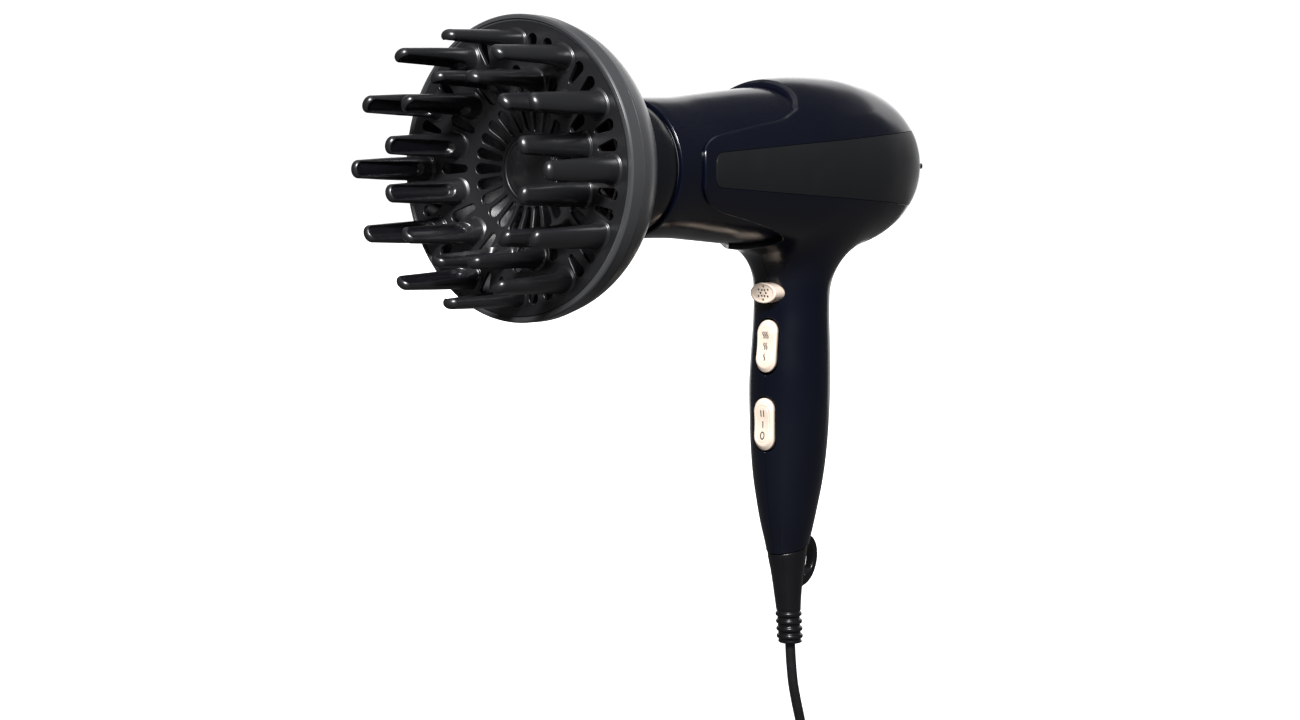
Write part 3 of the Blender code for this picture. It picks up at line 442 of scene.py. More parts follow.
def surface_net(field, low, high, step):
    """A triangle mesh of the surface where the field is zero, with its vertices on it."""
    axes = [np.arange(l, h + step, step) for l, h in zip(low, high)]
    grid = np.stack(np.meshgrid(*axes, indexing="ij"), -1)
    shape = grid.shape[:3]
    inside = (field(grid.reshape(-1, 3)) < 0).reshape(shape)
    cells = tuple(n - 1 for n in shape)
    count = np.zeros(cells, int)
    for a, b, c in itertools.product((0, 1), repeat=3):
        count += inside[a:a + cells[0], b:b + cells[1], c:c + cells[2]]
    active = (count > 0) & (count < 8)
    number = np.full(cells, -1)
    number[active] = np.arange(active.sum())
    where = np.argwhere(active)
    points = np.array([ax[0] for ax in axes]) + (where + 0.5) * step
    quads = []
    for axis in range(3):
        here, there = np.delete(inside, -1, axis), np.delete(inside, 0, axis)
        b, c = (axis + 1) % 3, (axis + 2) % 3
        for flip, edges in ((False, here & ~there), (True, ~here & there)):
            at = np.argwhere(edges)
            at = at[(at[:, b] > 0) & (at[:, c] > 0) & (at[:, b] < cells[b]) & (at[:, c] < cells[c])]
            corners = []
            for db, dc in ((-1, -1), (0, -1), (0, 0), (-1, 0)):
                q = at.copy()
                q[:, b] += db
                q[:, c] += dc
                corners.append(number[tuple(q.T)])
            quad = np.stack(corners, 1)
            quads.append(quad[:, ::-1] if flip else quad)
    quads = np.concatenate(quads)
    quads = quads[(quads >= 0).all(1)]
    points = settle(field, points, 4)
    for _ in range(3):
        total, links = np.zeros_like(points), np.zeros(len(points))
        for i in range(4):
            a, b = quads[:, i], quads[:, (i + 1) % 4]
            np.add.at(total, a, points[b])
            np.add.at(total, b, points[a])
            np.add.at(links, a, 1)
            np.add.at(links, b, 1)
        used = links > 0
        points[used] = 0.5 * points[used] + 0.5 * total[used] / links[used, None]
        points = settle(field, points, 2)
    d1 = np.linalg.norm(points[quads[:, 0]] - points[quads[:, 2]], axis=1)
    d2 = np.linalg.norm(points[quads[:, 1]] - points[quads[:, 3]], axis=1)
    short = (d1 <= d2)[:, None]
    t1 = np.where(short, quads[:, [0, 1, 2]], quads[:, [0, 1, 3]])
    t2 = np.where(short, quads[:, [0, 2, 3]], quads[:, [1, 2, 3]])
    return points, np.concatenate((t1, t2))


LIP_STEPS = 5
SNAP, TOUCH = 0.28, 0.05  # shares of a skin's step at which a vertex moves onto a cut, or counts as on it


def at_place(value, p):
    """A number, or what a function of the place says."""
    return value(p) if callable(value) else value


def halves(quads):
    """Two triangles for each quad."""
    return np.concatenate((quads[:, [0, 1, 2]], quads[:, [0, 2, 3]]))


class Skin:
    """A triangle mesh on a surface, that can be cut along lines.

    marks holds, for each vertex, the cuts it lies on.
    """

    def __init__(self, field, points, tris, step):
        self.field, self.points, self.tris, self.step = field, points, tris, step
        self.marks = [frozenset()] * len(points)
        self.edges = []

    def copy(self):
        other = Skin(self.field, self.points.copy(), self.tris.copy(), self.step)
        other.marks, other.edges = list(self.marks), list(self.edges)
        return other

    def cut(self, edge, lip=0.3, wall=None):
        """Keeps the part where edge, a distance in millimetres, is positive.

        The new edge is later rolled over with radius lip, and goes down by wall. Both may be functions
        of the place.
        """
        number = len(self.edges)
        self.edges.append((edge, lip, wall))

        def shifted(p):
            return edge(p) - at_place(lip, p)

        s = shifted(self.points)
        near = np.flatnonzero(np.abs(s) < SNAP * self.step)
        free = np.array([not self.marks[i] for i in near], bool)
        move, stay = near[free], near[~free]
        if len(move):
            self.points[move] = settle_on_line(self.field, shifted, self.points[move])
        close = stay[np.abs(s[stay]) < TOUCH * self.step]
        s[move] = 0.0
        s[close] = 0.0
        for i in (*move, *close):
            self.marks[i] = self.marks[i] | {number}
        positive, negative = s > 0, s < 0
        t = self.tris
        whole = ~negative[t].any(1) & positive[t].any(1)
        mixed = negative[t].any(1) & positive[t].any(1)
        kept = [tuple(f) for f in t[whole]]
        new_points, made = [], {}
        start = len(self.points)

        def crossing(a, b):
            key = (a, b) if a < b else (b, a)
            if key not in made:
                share = s[a] / (s[a] - s[b])
                new_points.append(self.points[a] * (1 - share) + self.points[b] * share)
                made[key] = start + len(new_points) - 1
                self.marks.append((self.marks[a] & self.marks[b]) | {number})
            return made[key]

        for f in t[mixed]:
            ring = []
            for i in range(3):
                a, b = int(f[i]), int(f[(i + 1) % 3])
                if s[a] >= 0:
                    ring.append(a)
                if s[a] * s[b] < 0:
                    ring.append(crossing(a, b))
            kept.append((ring[0], ring[1], ring[2]))
            if len(ring) == 4:
                kept.append((ring[0], ring[2], ring[3]))
        if new_points:
            extra = np.array(new_points)
            alone = np.array([len(m) == 1 for m in self.marks[start:]])
            extra[alone] = settle_on_line(self.field, shifted, extra[alone], 4)
            both = np.flatnonzero(~alone)
            if len(both):
                extra[both] = settle(self.field, extra[both], 2)
            self.points = np.concatenate((self.points, extra))
        self.tris = np.array(kept)
        self.tidy()

    def tidy(self):
        """Drops the vertices that no triangle uses."""
        used = np.unique(self.tris)
        renumber = np.full(len(self.points), -1)
        renumber[used] = np.arange(len(used))
        self.points = self.points[used]
        self.marks = [self.marks[i] for i in used]
        self.tris = renumber[self.tris]

    def shell(self, thick=1.2, inner=True):
        """Points, faces and normals of the skin with rolled edges, walls and, if asked, an inner skin."""
        p, t = self.points, self.tris
        n = unit(gradient(self.field, p))
        faces = [tuple(f) for f in t]
        points, normals = [p], [n]
        side = np.concatenate((t[:, [0, 1]], t[:, [1, 2]], t[:, [2, 0]]))
        key = np.sort(side, 1)
        _, index, counts = np.unique(key, axis=0, return_inverse=True, return_counts=True)
        border = side[counts[index.ravel()] == 1]
        rim = np.unique(border)
        out = np.zeros((len(rim), 3))
        lip, deep = np.zeros((len(rim), 1)), np.zeros((len(rim), 1))
        for number, (edge, roll, wall) in enumerate(self.edges):
            here = np.array([number in self.marks[i] for i in rim])
            if here.any():
                q, m = p[rim[here]], n[rim[here]]
                lip[here, 0] = at_place(roll, q)
                deep[here, 0] = at_place(thick if wall is None else wall, q)
                g = gradient(edge, q)
                out[here] -= unit(g - m * (g * m).sum(1)[:, None])
        out = unit(out)
        place = np.full(len(p), -1)
        place[rim] = np.arange(len(rim))
        a, b = place[border[:, 0]], place[border[:, 1]]
        last, total = rim, len(p)
        base, m = p[rim], n[rim]
        turns = [math.pi / 2 * i / LIP_STEPS for i in range(1, LIP_STEPS + 1)]
        rings = []
        for w in turns:
            c, s = math.cos(w), math.sin(w)
            rings.append((base + out * lip * s - m * lip * (1 - c), m * c + out * s))
        end = base + out * lip - m * deep
        rings += [(end, out), (end, -m)]
        if inner:
            rings.append((base - m * thick, -m))
        for number, (where, facing) in enumerate(rings):
            now = total + np.arange(len(rim))
            total += len(rim)
            points.append(where)
            normals.append(unit(facing))
            if number != LIP_STEPS + 1:
                faces += [(last[j], last[i], now[i], now[j]) for i, j in zip(a, b)]
            last = now
        if inner:
            other = total + np.arange(len(p))
            points.append(p - n * thick)
            normals.append(-n)
            swap = other.copy()
            swap[rim] = last
            faces += [(swap[f[0]], swap[f[2]], swap[f[1]]) for f in t]
        return np.concatenate(points), faces, np.concatenate(normals)


def plane_skin(field, low, high, step, axis=0, start=0.0):
    """A skin over a rectangle: two coordinates run over a grid, and the third settles on the field."""
    b, c = (axis + 1) % 3, (axis + 2) % 3
    us, vs = np.arange(low[0], high[0] + step, step), np.arange(low[1], high[1] + step, step)
    grid = np.zeros((len(us), len(vs), 3))
    grid[:, :, axis] = start
    grid[:, :, b], grid[:, :, c] = np.meshgrid(us, vs, indexing="ij")
    points = settle(field, grid.reshape(-1, 3), 6)
    at = np.arange(len(us) * len(vs)).reshape(len(us), len(vs))
    q = np.stack((at[:-1, :-1], at[1:, :-1], at[1:, 1:], at[:-1, 1:]), -1).reshape(-1, 4)
    return facing_out(Skin(field, points, halves(q), step))


def polar_skin(field, inner, outer, step, count, start):
    """A skin over a disc round the barrel's axis, in rings."""
    radii = np.arange(inner, outer + step, step)
    a = np.arange(count) * math.tau / count
    rr, aa = np.meshgrid(radii, a, indexing="ij")
    points = np.stack((np.full_like(rr, start), rr * np.sin(aa), AXIS_Z + rr * np.cos(aa)), -1).reshape(-1, 3)
    points = slide_to(field, points)
    at = np.arange(len(radii) * count).reshape(len(radii), count)
    after = np.roll(at, -1, 1)
    q = np.stack((at[:-1], at[1:], after[1:], after[:-1]), -1).reshape(-1, 4)
    return facing_out(Skin(field, points, halves(q), step))


def slide_to(field, p):
    """Moves points onto the field along X only."""
    for _ in range(6):
        slope = (field(p + (NUDGE, 0, 0)) - field(p)) / NUDGE
        p[:, 0] -= field(p) / slope
    return p


def facing_out(skin):
    """Turns the triangles round if they face into the body."""
    p, t = skin.points, skin.tris
    face = np.cross(p[t[:, 1]] - p[t[:, 0]], p[t[:, 2]] - p[t[:, 0]])
    middle = p[t].mean(1)
    if (face * gradient(skin.field, middle)).sum() < 0:
        skin.tris = t[:, ::-1].copy()
    return skin


ALMOST_STRAIGHT = 3.05  # radians


def rounded(outline, radius, arcs=4, closed=False):
    """The outline with each corner turned into a small arc. radius is one number or one for each point."""
    pts = [np.array(p, float) for p in outline]
    radii = radius if hasattr(radius, "__len__") else [radius] * len(pts)
    out = []
    for i, p in enumerate(pts):
        if not closed and i in (0, len(pts) - 1) or radii[i] <= 0:
            out.append(tuple(p))
            continue
        a, b = pts[i - 1] - p, pts[(i + 1) % len(pts)] - p
        la, lb = np.linalg.norm(a), np.linalg.norm(b)
        a, b = a / la, b / lb
        angle = math.acos(np.clip(a @ b, -1, 1))
        if angle > ALMOST_STRAIGHT:
            out.append(tuple(p))
            continue
        back = min(radii[i] / math.tan(angle / 2), 0.49 * la, 0.49 * lb)
        start, end = p + a * back, p + b * back
        for j in range(arcs + 1):
            t = j / arcs
            out.append(tuple((1 - t) ** 2 * start + 2 * t * (1 - t) * p + t * t * end))
    return out


def weighted_normals(points, faces):
    """Normals at the points, weighted by the area of the faces round them."""
    points = np.asarray(points, float)
    total = np.zeros_like(points)
    for f in faces:
        ring = points[list(f)]
        n = np.zeros(3)
        for i in range(1, len(ring) - 1):
            n += np.cross(ring[i] - ring[0], ring[i + 1] - ring[0])
        for i in f:
            total[i] += n
    return unit(total)


def tube_faces(rings, count, closed=False):
    """Faces between rings of count points each, and from the last ring to the first if it is closed."""
    faces = []
    for i in range(rings if closed else rings - 1):
        k = (i + 1) % rings
        for j in range(count):
            m = (j + 1) % count
            faces.append((i * count + j, i * count + m, k * count + m, k * count + j))
    return faces


def lathe(name, outline, skin, body, centre=(0.0, AXIS_Z), axis="X", closed=True, count=128, replaces=()):
    """Turns an outline of (place along the axis, radius) round an axis, X or Y."""
    n = len(outline)
    points = []
    for x, r in outline:
        for a in circle(count):
            u, v = r * math.sin(a), r * math.cos(a)
            at = (x, centre[0] + u, centre[1] + v) if axis == "X" else (centre[0] + v, x, centre[1] + u)
            points.append(at)
    faces = tube_faces(n, count, closed)
    area = sum(
        outline[i][0] * outline[(i + 1) % n][1] - outline[(i + 1) % n][0] * outline[i][1] for i in range(n)
    )
    if area < 0:
        faces = [f[::-1] for f in faces]
    return place_piece(name, points, faces, skin, body, weighted_normals(points, faces), replaces)


def profile(curve, xs, inward=0.0):
    """An outline's points (x, radius) along a curve, moved in towards the axis."""
    return [(x, float(curve(x)) - inward) for x in xs]


def loft(rings, cap_start=True, cap_end=True):
    """Points and faces of a tube through rings that have the same number of points."""
    count = len(rings[0])
    faces = tube_faces(len(rings), count)
    if cap_start:
        faces.append(tuple(range(count - 1, -1, -1)))
    if cap_end:
        faces.append(tuple((len(rings) - 1) * count + j for j in range(count)))
    return [p for ring in rings for p in ring], faces


def outward(points, faces):
    """Faces turned so that a closed mesh has a positive volume."""
    p = np.asarray(points, float)
    volume = 0.0
    for f in faces:
        for i in range(1, len(f) - 1):
            volume += np.dot(p[f[0]], np.cross(p[f[i]], p[f[i + 1]]))
    return faces if volume > 0 else [tuple(f[::-1]) for f in faces]


def place_piece(name, points, faces, skin, body, normals=None, replaces=()):
    """A piece that rides on a body, with its material's slot."""
    made = add_mesh(name, points, faces, skin, normals)
    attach(made, body)
    if replaces:
        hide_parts(*replaces)
    return made


def place_skin(name, shell, skin, body, replaces=()):
    """A piece from the points, faces and normals of a shell."""
    return place_piece(name, *shell[:2], skin, body, shell[2], replaces)


def place_solid(name, points, faces, skin, body, replaces=()):
    """A closed piece with its faces turned outward."""
    faces = outward(points, faces)
    return place_piece(name, points, faces, skin, body, weighted_normals(points, faces), replaces)


def mirrored(points, faces, normals):
    """The same in the XZ plane's mirror."""
    return points * (1, -1, 1), [f[::-1] for f in faces], normals * (1, -1, 1)


# ---------------------------------------------------------------- cord


def catmull(points, per_piece):
    """Points on a smooth curve through the given ones."""
    p = np.array([2 * np.array(points[0]) - np.array(points[1]), *points,
                  2 * np.array(points[-1]) - np.array(points[-2])], float)
    out = []
    for i in range(1, len(p) - 2):
        for j in range(per_piece):
            t = j / per_piece
            a, b, c, d = p[i - 1:i + 3]
            out.append(0.5 * (
                2 * b + (c - a) * t + (2 * a - 5 * b + 4 * c - d) * t * t + (3 * b - a - 3 * c + d) * t ** 3
            ))
    out.append(p[-2])
    return out


def ease(t):
    t = min(max(t, 0.0), 1.0)
    return t * t * (3 - 2 * t)


def cord_route():
    """The whole lead: down from the strain relief, round the coil's two layers, and on to the plug."""
    route = list(LEAD_ROUTE)
    pitch = COIL_RADII[0] - COIL_RADII[1]
    along = 0.0
    while along <= COIL_SWEEP:
        inward = sum(ease((along - start) / COIL_SHIFT) for start in COIL_INWARD)
        outward_share = sum(ease((along - start) / COIL_SHIFT) for start in COIL_OUTWARD)
        r = COIL_RADII[0] - pitch * (inward - outward_share)
        climbed = (along - COIL_CLIMB[0]) / (COIL_CLIMB[1] - COIL_CLIMB[0])
        z = COIL_LOW + (COIL_HIGH - COIL_LOW) * ease(climbed)
        a = math.radians(COIL_START - along)
        route.append((COIL_CENTRE[0] + r * math.cos(a), COIL_CENTRE[1] + r * math.sin(a), z))
        along += COIL_STEP
    return catmull(route + list(TAIL_ROUTE), 2)


def add_cord(plug_pieces):
    data = bpy.data.curves.new("lead", "CURVE")
    data.dimensions = "3D"
    data.bevel_depth = CORD_RADIUS * MM
    data.bevel_resolution = 6
    data.use_fill_caps = True
    points = cord_route()
    spline = data.splines.new("POLY")
    spline.points.add(len(points) - 1)
    spline.points.foreach_set("co", np.array([(*(np.array(p) * MM), 1.0) for p in points]).ravel())
    spline.use_smooth = True
    data.materials.append(CABLE)
    lead = bpy.data.objects.new("lead", data)
    bpy.context.scene.collection.objects.link(lead)
    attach(lead, "housing")
    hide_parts("cord", "cord_coil", "cord_tail")


# ---------------------------------------------------------------- housing

BODY_R = Curve(BODY, blur=5.0)
BARREL_R = Curve(BARREL, blur=3.0)
EDGE_X = Curve(FRONT_EDGE, blur=1.6)
HANDLE_X = Curve(HANDLE, 1, blur=5.0)
HANDLE_DEPTH = Curve(HANDLE, 2, blur=5.0)
HANDLE_WIDTH = Curve(HANDLE, 3, blur=5.0)
FACE_X = Curve(PLATE_FACE, blur=0.7)
SEAM_HALF = 0.09
HOUSING_STEP, HOUSING_BOX = 1.45, ((-113, -1.6, -88), (68.5, 46, 151))
HANDLE_TOP = 112.0
FOOT_X, FOOT_Z = -1.8, -79.2
SCREW_HOLE, BAND_CORNER = 3.5, 5.0
COOL_HOLE_HALF = (8.0, 5.3)
ROCKER_HOLES = ((HEAT_Z + 0.25, 6.1, 13.65), (SPEED_Z, 6.1, 13.4))  # z, half width and half height
HOUSING_WALL, BAND_WALL = 1.2, 0.8
BLEND_FRONT, BLEND_REAR = 17.5, 22.5  # how widely the handle flows into the body
FAR = 50.0  # where a cut doesn't reach


def from_axis(p):
    """How far points are from the barrel's axis."""
    return np.hypot(p[:, 1], p[:, 2] - AXIS_Z)


def body_field(p):
    return (from_axis(p) - BODY_R(p[:, 0])) / np.hypot(1, BODY_R.slope(p[:, 0]))


def handle_field(p):
    z = p[:, 2]
    depth, width = HANDLE_DEPTH(z), HANDLE_WIDTH(z)
    k = np.hypot((p[:, 0] - HANDLE_X(z)) / depth, p[:, 1] / width)
    return np.maximum((k - 1) * np.sqrt(depth * width), z - HANDLE_TOP)


def housing_field(p):
    """The body and the handle, flowing into each other: tightly in front and more widely behind."""
    a, b = body_field(p), handle_field(p)
    reach = BLEND_FRONT + (BLEND_REAR - BLEND_FRONT) * np.clip((p[:, 0] + 12) / 26, 0, 1)
    h = np.maximum(reach - np.abs(a - b), 0)
    return np.minimum(a, b) - h * h / (4 * reach)


def front_line(p):
    """How far a point is behind the housing's front edge."""
    dz = p[:, 2] - AXIS_Z
    degrees = np.degrees(np.arctan2(np.abs(p[:, 1]), dz))
    slope = EDGE_X.slope(degrees) * (180 / math.pi) / np.maximum(from_axis(p), 20)
    return (p[:, 0] - EDGE_X(degrees)) / np.hypot(1, slope)


def front_lip(p):
    """The front edge's radius: soft round the notch, tighter round the tongue, and crisp below."""
    degrees = np.degrees(np.arctan2(np.abs(p[:, 1]), p[:, 2] - AXIS_Z))
    return np.interp(degrees, (0, 58, 72, 105, 122, 180), (3.2, 3.2, 1.25, 1.1, 0.5, 0.5))


def front_wall(p):
    """How far the front edge goes down, to just above the barrel."""
    return from_axis(p) - BARREL_R(p[:, 0]) - 0.25


def foot_line(p):
    """How far a point is above the handle's slanting foot."""
    return (p[:, 2] - FOOT_Z - (p[:, 0] - FOOT_X) * 5 / 21) * 0.973


def band_line(p):
    """How far a point is outside the side band: a trapezoid with rounded front corners."""
    share = (p[:, 0] - BAND_FRONT) / (BAND_REAR - BAND_FRONT)
    half = BAND_HALF_FRONT + (BAND_HALF_REAR - BAND_HALF_FRONT) * share
    across = (np.abs(p[:, 2] - AXIS_Z + BAND_DROP) - half) * 0.9976 + BAND_CORNER
    ahead = np.maximum(BAND_FRONT - p[:, 0], p[:, 0] - BAND_REAR) + BAND_CORNER
    round_corner = np.hypot(np.maximum(across, 0), np.maximum(ahead, 0))
    line = np.minimum(np.maximum(across, ahead), 0) + round_corner - BAND_CORNER
    return np.where(np.abs(p[:, 1]) > 15, line, FAR)


def stadium_line(p, z, half_width, half_height):
    """How far a point is outside a stadium in the handle's front."""
    up = np.maximum(np.abs(p[:, 2] - z) - (half_height - half_width), 0)
    return np.where(p[:, 0] < -3, np.hypot(p[:, 1], up) - half_width, FAR)


def oval_line(p, z, half_width, half_height):
    """How far a point is outside an oval in the handle's front."""
    u, v = p[:, 1] / half_width, (p[:, 2] - z) / half_height
    k = np.sqrt(u * u + v * v + 1e-9)
    line = k * (k - 1) / np.sqrt((u / half_width) ** 2 + (v / half_height) ** 2 + 1e-9)
    return np.where(p[:, 0] < -3, line, FAR)


def screw_hole(x, z):
    """A cut for a screw's hole, on the +Y side only."""
    return lambda p: np.where(p[:, 1] > 5, np.hypot(p[:, 0] - x, p[:, 2] - z) - SCREW_HOLE, FAR)


def add_housing():
    """The two halves and their bands, made at +Y and mirrored to -Y, where there are no screw wells."""
    points, tris = surface_net(housing_field, *HOUSING_BOX, HOUSING_STEP)
    base = facing_out(Skin(housing_field, points, tris, HOUSING_STEP))
    base.cut(lambda p: p[:, 1] - SEAM_HALF, 0.16)
    base.cut(lambda p: BODY_REAR - p[:, 0], 0.35)
    base.cut(foot_line, 0.2)
    base.cut(front_line, front_lip, front_wall)
    base.cut(lambda p: oval_line(p, COOL_Z, *COOL_HOLE_HALF), 0.45)
    for hole in ROCKER_HOLES:
        base.cut(lambda p, hole=hole: stadium_line(p, *hole), 0.4)
    band = base.copy()
    base.cut(band_line, 0.2)
    band.cut(lambda p: -band_line(p) - 0.16, 0.12)
    drilled = base.copy()
    for x, z, _ in SCREWS:
        drilled.cut(screw_hole(x, z), 0.35)
    band = band.shell(BAND_WALL)
    for name, skin, wall in (("left", drilled, band), ("right", base, mirrored(*band))):
        shell = skin.shell(HOUSING_WALL)
        shell = shell if name == "left" else mirrored(*shell)
        place_skin(f"shell_{name}", shell, GLOSS, "housing", [f"housing_{name}"])
        place_skin(f"band_{name}", wall, BAND, "housing", [f"side_band_{name}"])


def add_barrel():
    outer = profile(BARREL_R, np.linspace(-120.6, -15, 60))
    front = [(-112, 28.9), (-121.9, 28.9), (-122, 31.15), (-118, float(BARREL_R(-118)))]
    front = rounded(front, (0, 0.6, 0.9, 0), 5)
    outline = front[:-1] + outer[2:] + [(-14, 38.0), (-14, 36.0), (-40, 34.7), (-100, 29.8)]
    lathe("barrel", outline, GLOSS, "housing", replaces=["front_barrel"])
    ring = rounded(
        [(-134, 26.0), (-134, 27.5), (-121.5, 27.5), (-121.5, 28.6), (-113, 28.6), (-113, 26.6),
         (-119, 26.0)],
        0.35, 4, True,
    )
    lathe("outlet_sleeve", ring, HEAT_PLASTIC, "housing", replaces=["outlet_ring"])


# ---------------------------------------------------------------- diffuser

PLATE_WALL = 1.8


def plate_field(p):
    r = from_axis(p)
    return (FACE_X(r) - p[:, 0]) / np.hypot(1, FACE_X.slope(r))


def teardrop_line(p, start, end, half_in, half_out, count, offsets=(0.0,)):
    """How far a point is outside the nearest of the slots that repeat round the axis.

    They are wide at their outer ends.
    """
    y, z = p[:, 1], p[:, 2] - AXIS_Z
    r, a = np.hypot(y, z), np.arctan2(y, z)
    pitch = math.tau / count
    best = np.full(len(p), 1e3)
    inner, outer = start + half_in, end - half_out
    for offset in offsets:
        b = (a - offset + pitch / 2) % pitch - pitch / 2
        along, across = r * np.cos(b), r * np.sin(b)
        t = np.clip((along - inner) / (outer - inner), 0, 1)
        line = np.hypot(along - np.clip(along, inner, outer), across) - (half_in + (half_out - half_in) * t)
        best = np.minimum(best, line)
    return best


def add_plate():
    skin = polar_skin(plate_field, 14.2, 62.6, 0.75, 384, -190.0)
    skin.cut(lambda p: from_axis(p) - 14.8, 0.0)
    skin.cut(lambda p: 62.0 - from_axis(p), 0.0)
    pair = math.radians(10.5), math.radians(19.5)
    for slots in ((16.0, 27.9, 1.5, 2.35, 24), (31.7, 43.5, 1.65, 2.5, 12), (46.5, 57.5, 1.2, 2.5, 12, pair)):
        skin.cut(lambda p, slots=slots: teardrop_line(p, *slots), 0.35, PLATE_WALL)
    place_skin("finger_plate", skin.shell(PLATE_WALL), GREY, "diffuser", ["diffuser_plate"])
    dome = [(float(FACE_X(0)) + 0.05, 0.0)]
    dome += [(float(FACE_X(r)), r) for r in np.linspace(1.0, 12.9, 18)]
    dome += [(-186.35, 13.25), (-186.2, 13.5), (-186.45, 13.8), (-186.8, 14.2), (float(FACE_X(14.8)), 14.8)]
    dome += [(-185.0, 14.8), (-185.0, 0.0)]
    lathe("plate_dome", dome, GREY, "diffuser", closed=False)
    rim = rounded(
        [(-195.55, 61.9), (-195.35, 62.55), (-195.35, 62.95), (-196.0, 63.1), (-196.0, 64.4), (-195.2, 65.0),
         (-188.6, 65.0), (-188.6, 63.4), (-193.6, 62.9), (-194.0, 61.9)],
        (0, 0.1, 0.1, 0.25, 0.3, 0.4, 0.25, 0.1, 0.1, 0), 4, True,
    )
    lathe("plate_rim", rim, BOWL_PAINTED_LIGHT, "diffuser", count=192)


def add_bowl():
    bowl_out = Curve((
        (-188.3, 64.8), (-181.5, 63.2), (-174, 59.7), (-167, 53.9), (-160, 46), (-154, 38), (-150, 32.2),
        (-147.6, 29.2),
    ), blur=1.0)
    xs = np.linspace(-188.2, -147.8, 40)
    outline = [(-188.3, 63.6), (-188.3, 64.5), *profile(bowl_out, xs)]
    outline += [(-147.2, 28.3), (-147.0, 27.4), (-136.2, 27.4), (-136.0, 27.2), (-136.0, 25.6)]
    outline.append((-149.0, 25.6))
    outline += profile(bowl_out, [x for x in xs[::-1] if x < -150.6], PLATE_WALL)
    lathe("bowl", outline, BOWL_PAINTED_LIGHT, "diffuser", count=192, replaces=["diffuser_bowl"])


def add_collar():
    collar_out = Curve((
        (-146.2, 29.2), (-145, 30.0), (-142, 30.75), (-137, 31.1), (-131, 30.95), (-126, 30.3), (-123, 29.5),
    ), blur=0.4)
    outline = [(-146.6, 28.0), (-146.6, 28.7), *profile(collar_out, np.linspace(-146.2, -123.0, 30))]
    outline += [(-122.5, 29.1), (-122.4, 28.6), (-122.4, 28.0), (-122.7, 27.9), (-146.3, 27.9)]
    lathe("collar", outline, COLLAR, "diffuser_collar", count=160, replaces=["diffuser_collar"])


FINGER_WIDTH = Curve(((0, 5.8), (0.05, 5.55), (0.14, 5.3), (0.5, 4.8), (0.85, 4.1), (1.0, 3.8)))
FINGER_OUT = Curve(((0, 3.75), (0.05, 3.65), (0.14, 3.5), (0.5, 3.15), (1.0, 2.6)))
FINGER_IN = Curve((
    (0, 6.6), (0.03, 6.1), (0.07, 5.4), (0.125, 4.7), (0.2, 4.1), (0.35, 3.5), (0.6, 3.0), (1.0, 2.5),
))
FINGERS = (("outer", 54.6, -237.6, 0.0), ("inner", 39.1, -234.0, 0.5))  # name, ring, tip's x, first turn
FINGERS_ROUND = 12
FINGER_TIP, FINGER_FOOT = 2.9, 1.1  # radii at the tip and at the foot
FINGER_SQUARE = 2.3  # power of the inward side's curve
FINGER_SETTLE = 9.0  # height where the rings have become flat
SCOOP_LOW, SCOOP_BELOW_TIP = 4.6, 0.95
SCOOP_HALF, SCOOP_WIDENS = 2.6, 0.65
SCOOP_DEEP, SCOOP_SHALLOWS, SCOOP_EDGE = 2.5, 1.1, 0.5


def finger_rings(ring_radius, tip_x):
    """One finger as rings of (x, outward, sideways) points, and how hollow each is.

    It is a thumb-like stem with a scooped inward side.
    """
    base_x = float(FACE_X(ring_radius))
    height = base_x - tip_x
    below_tip = height - FINGER_TIP
    heights = [-0.9, 0.0, 0.15, 0.35, 0.65, 1.0, 1.4, 1.9, 2.5, 3.1, 3.7]
    heights += list(np.arange(4.1, 7.5, 0.34)) + list(np.arange(7.6, below_tip - 2.5, 1.1))
    turns = np.linspace(0, math.pi / 2, 15)
    heights += list(np.linspace(heights[-1], below_tip, 5)[1:])
    heights += list(below_tip + FINGER_TIP * np.sin(turns[1:-1])) + [height - 0.002]
    out_angles = np.linspace(0, math.pi, 15)[:-1]
    in_angles = math.pi + np.linspace(0, math.pi, 35)[:-1]
    scoop_high = height - SCOOP_BELOW_TIP
    rings, hollow = [], []
    for h in heights:
        t = max(h, 0) / height
        over = max(0.0, (h - below_tip) / FINGER_TIP)
        close = math.sqrt(max(0.0, 1 - over * over))
        under = max(0.0, 1 - max(h, 0) / FINGER_FOOT)
        flare = FINGER_FOOT * (1 - math.sqrt(1 - under ** 2))
        width = float(FINGER_WIDTH(t)) * close + flare
        out = float(FINGER_OUT(t)) * close + flare
        inward = float(FINGER_IN(t)) * close + flare
        ring = []
        for a in (*out_angles, *in_angles):
            s, share = width * math.cos(a), 0.0
            if a < math.pi:
                r = out * math.sin(a)
            else:
                k = abs(math.cos(a))
                r = -inward * (1 - k ** FINGER_SQUARE) ** (1 / FINGER_SQUARE)
                half = SCOOP_HALF + SCOOP_WIDENS * min(max((h - SCOOP_LOW) / (scoop_high - SCOOP_LOW), 0), 1)
                low_end, high_end = SCOOP_LOW + half, scoop_high - half
                line = half - math.hypot(s, h - min(max(h, low_end), high_end))
                share = ease(line / SCOOP_EDGE + 0.15)
                r += (SCOOP_DEEP - SCOOP_SHALLOWS * t) * share
            settle_share = ease(h / FINGER_SETTLE)
            surface = float(FACE_X(ring_radius + r)) * (1 - settle_share) + base_x * settle_share
            ring.append((surface - h, ring_radius + r, s))
            hollow.append(share)
        rings.append(ring)
    return rings, hollow


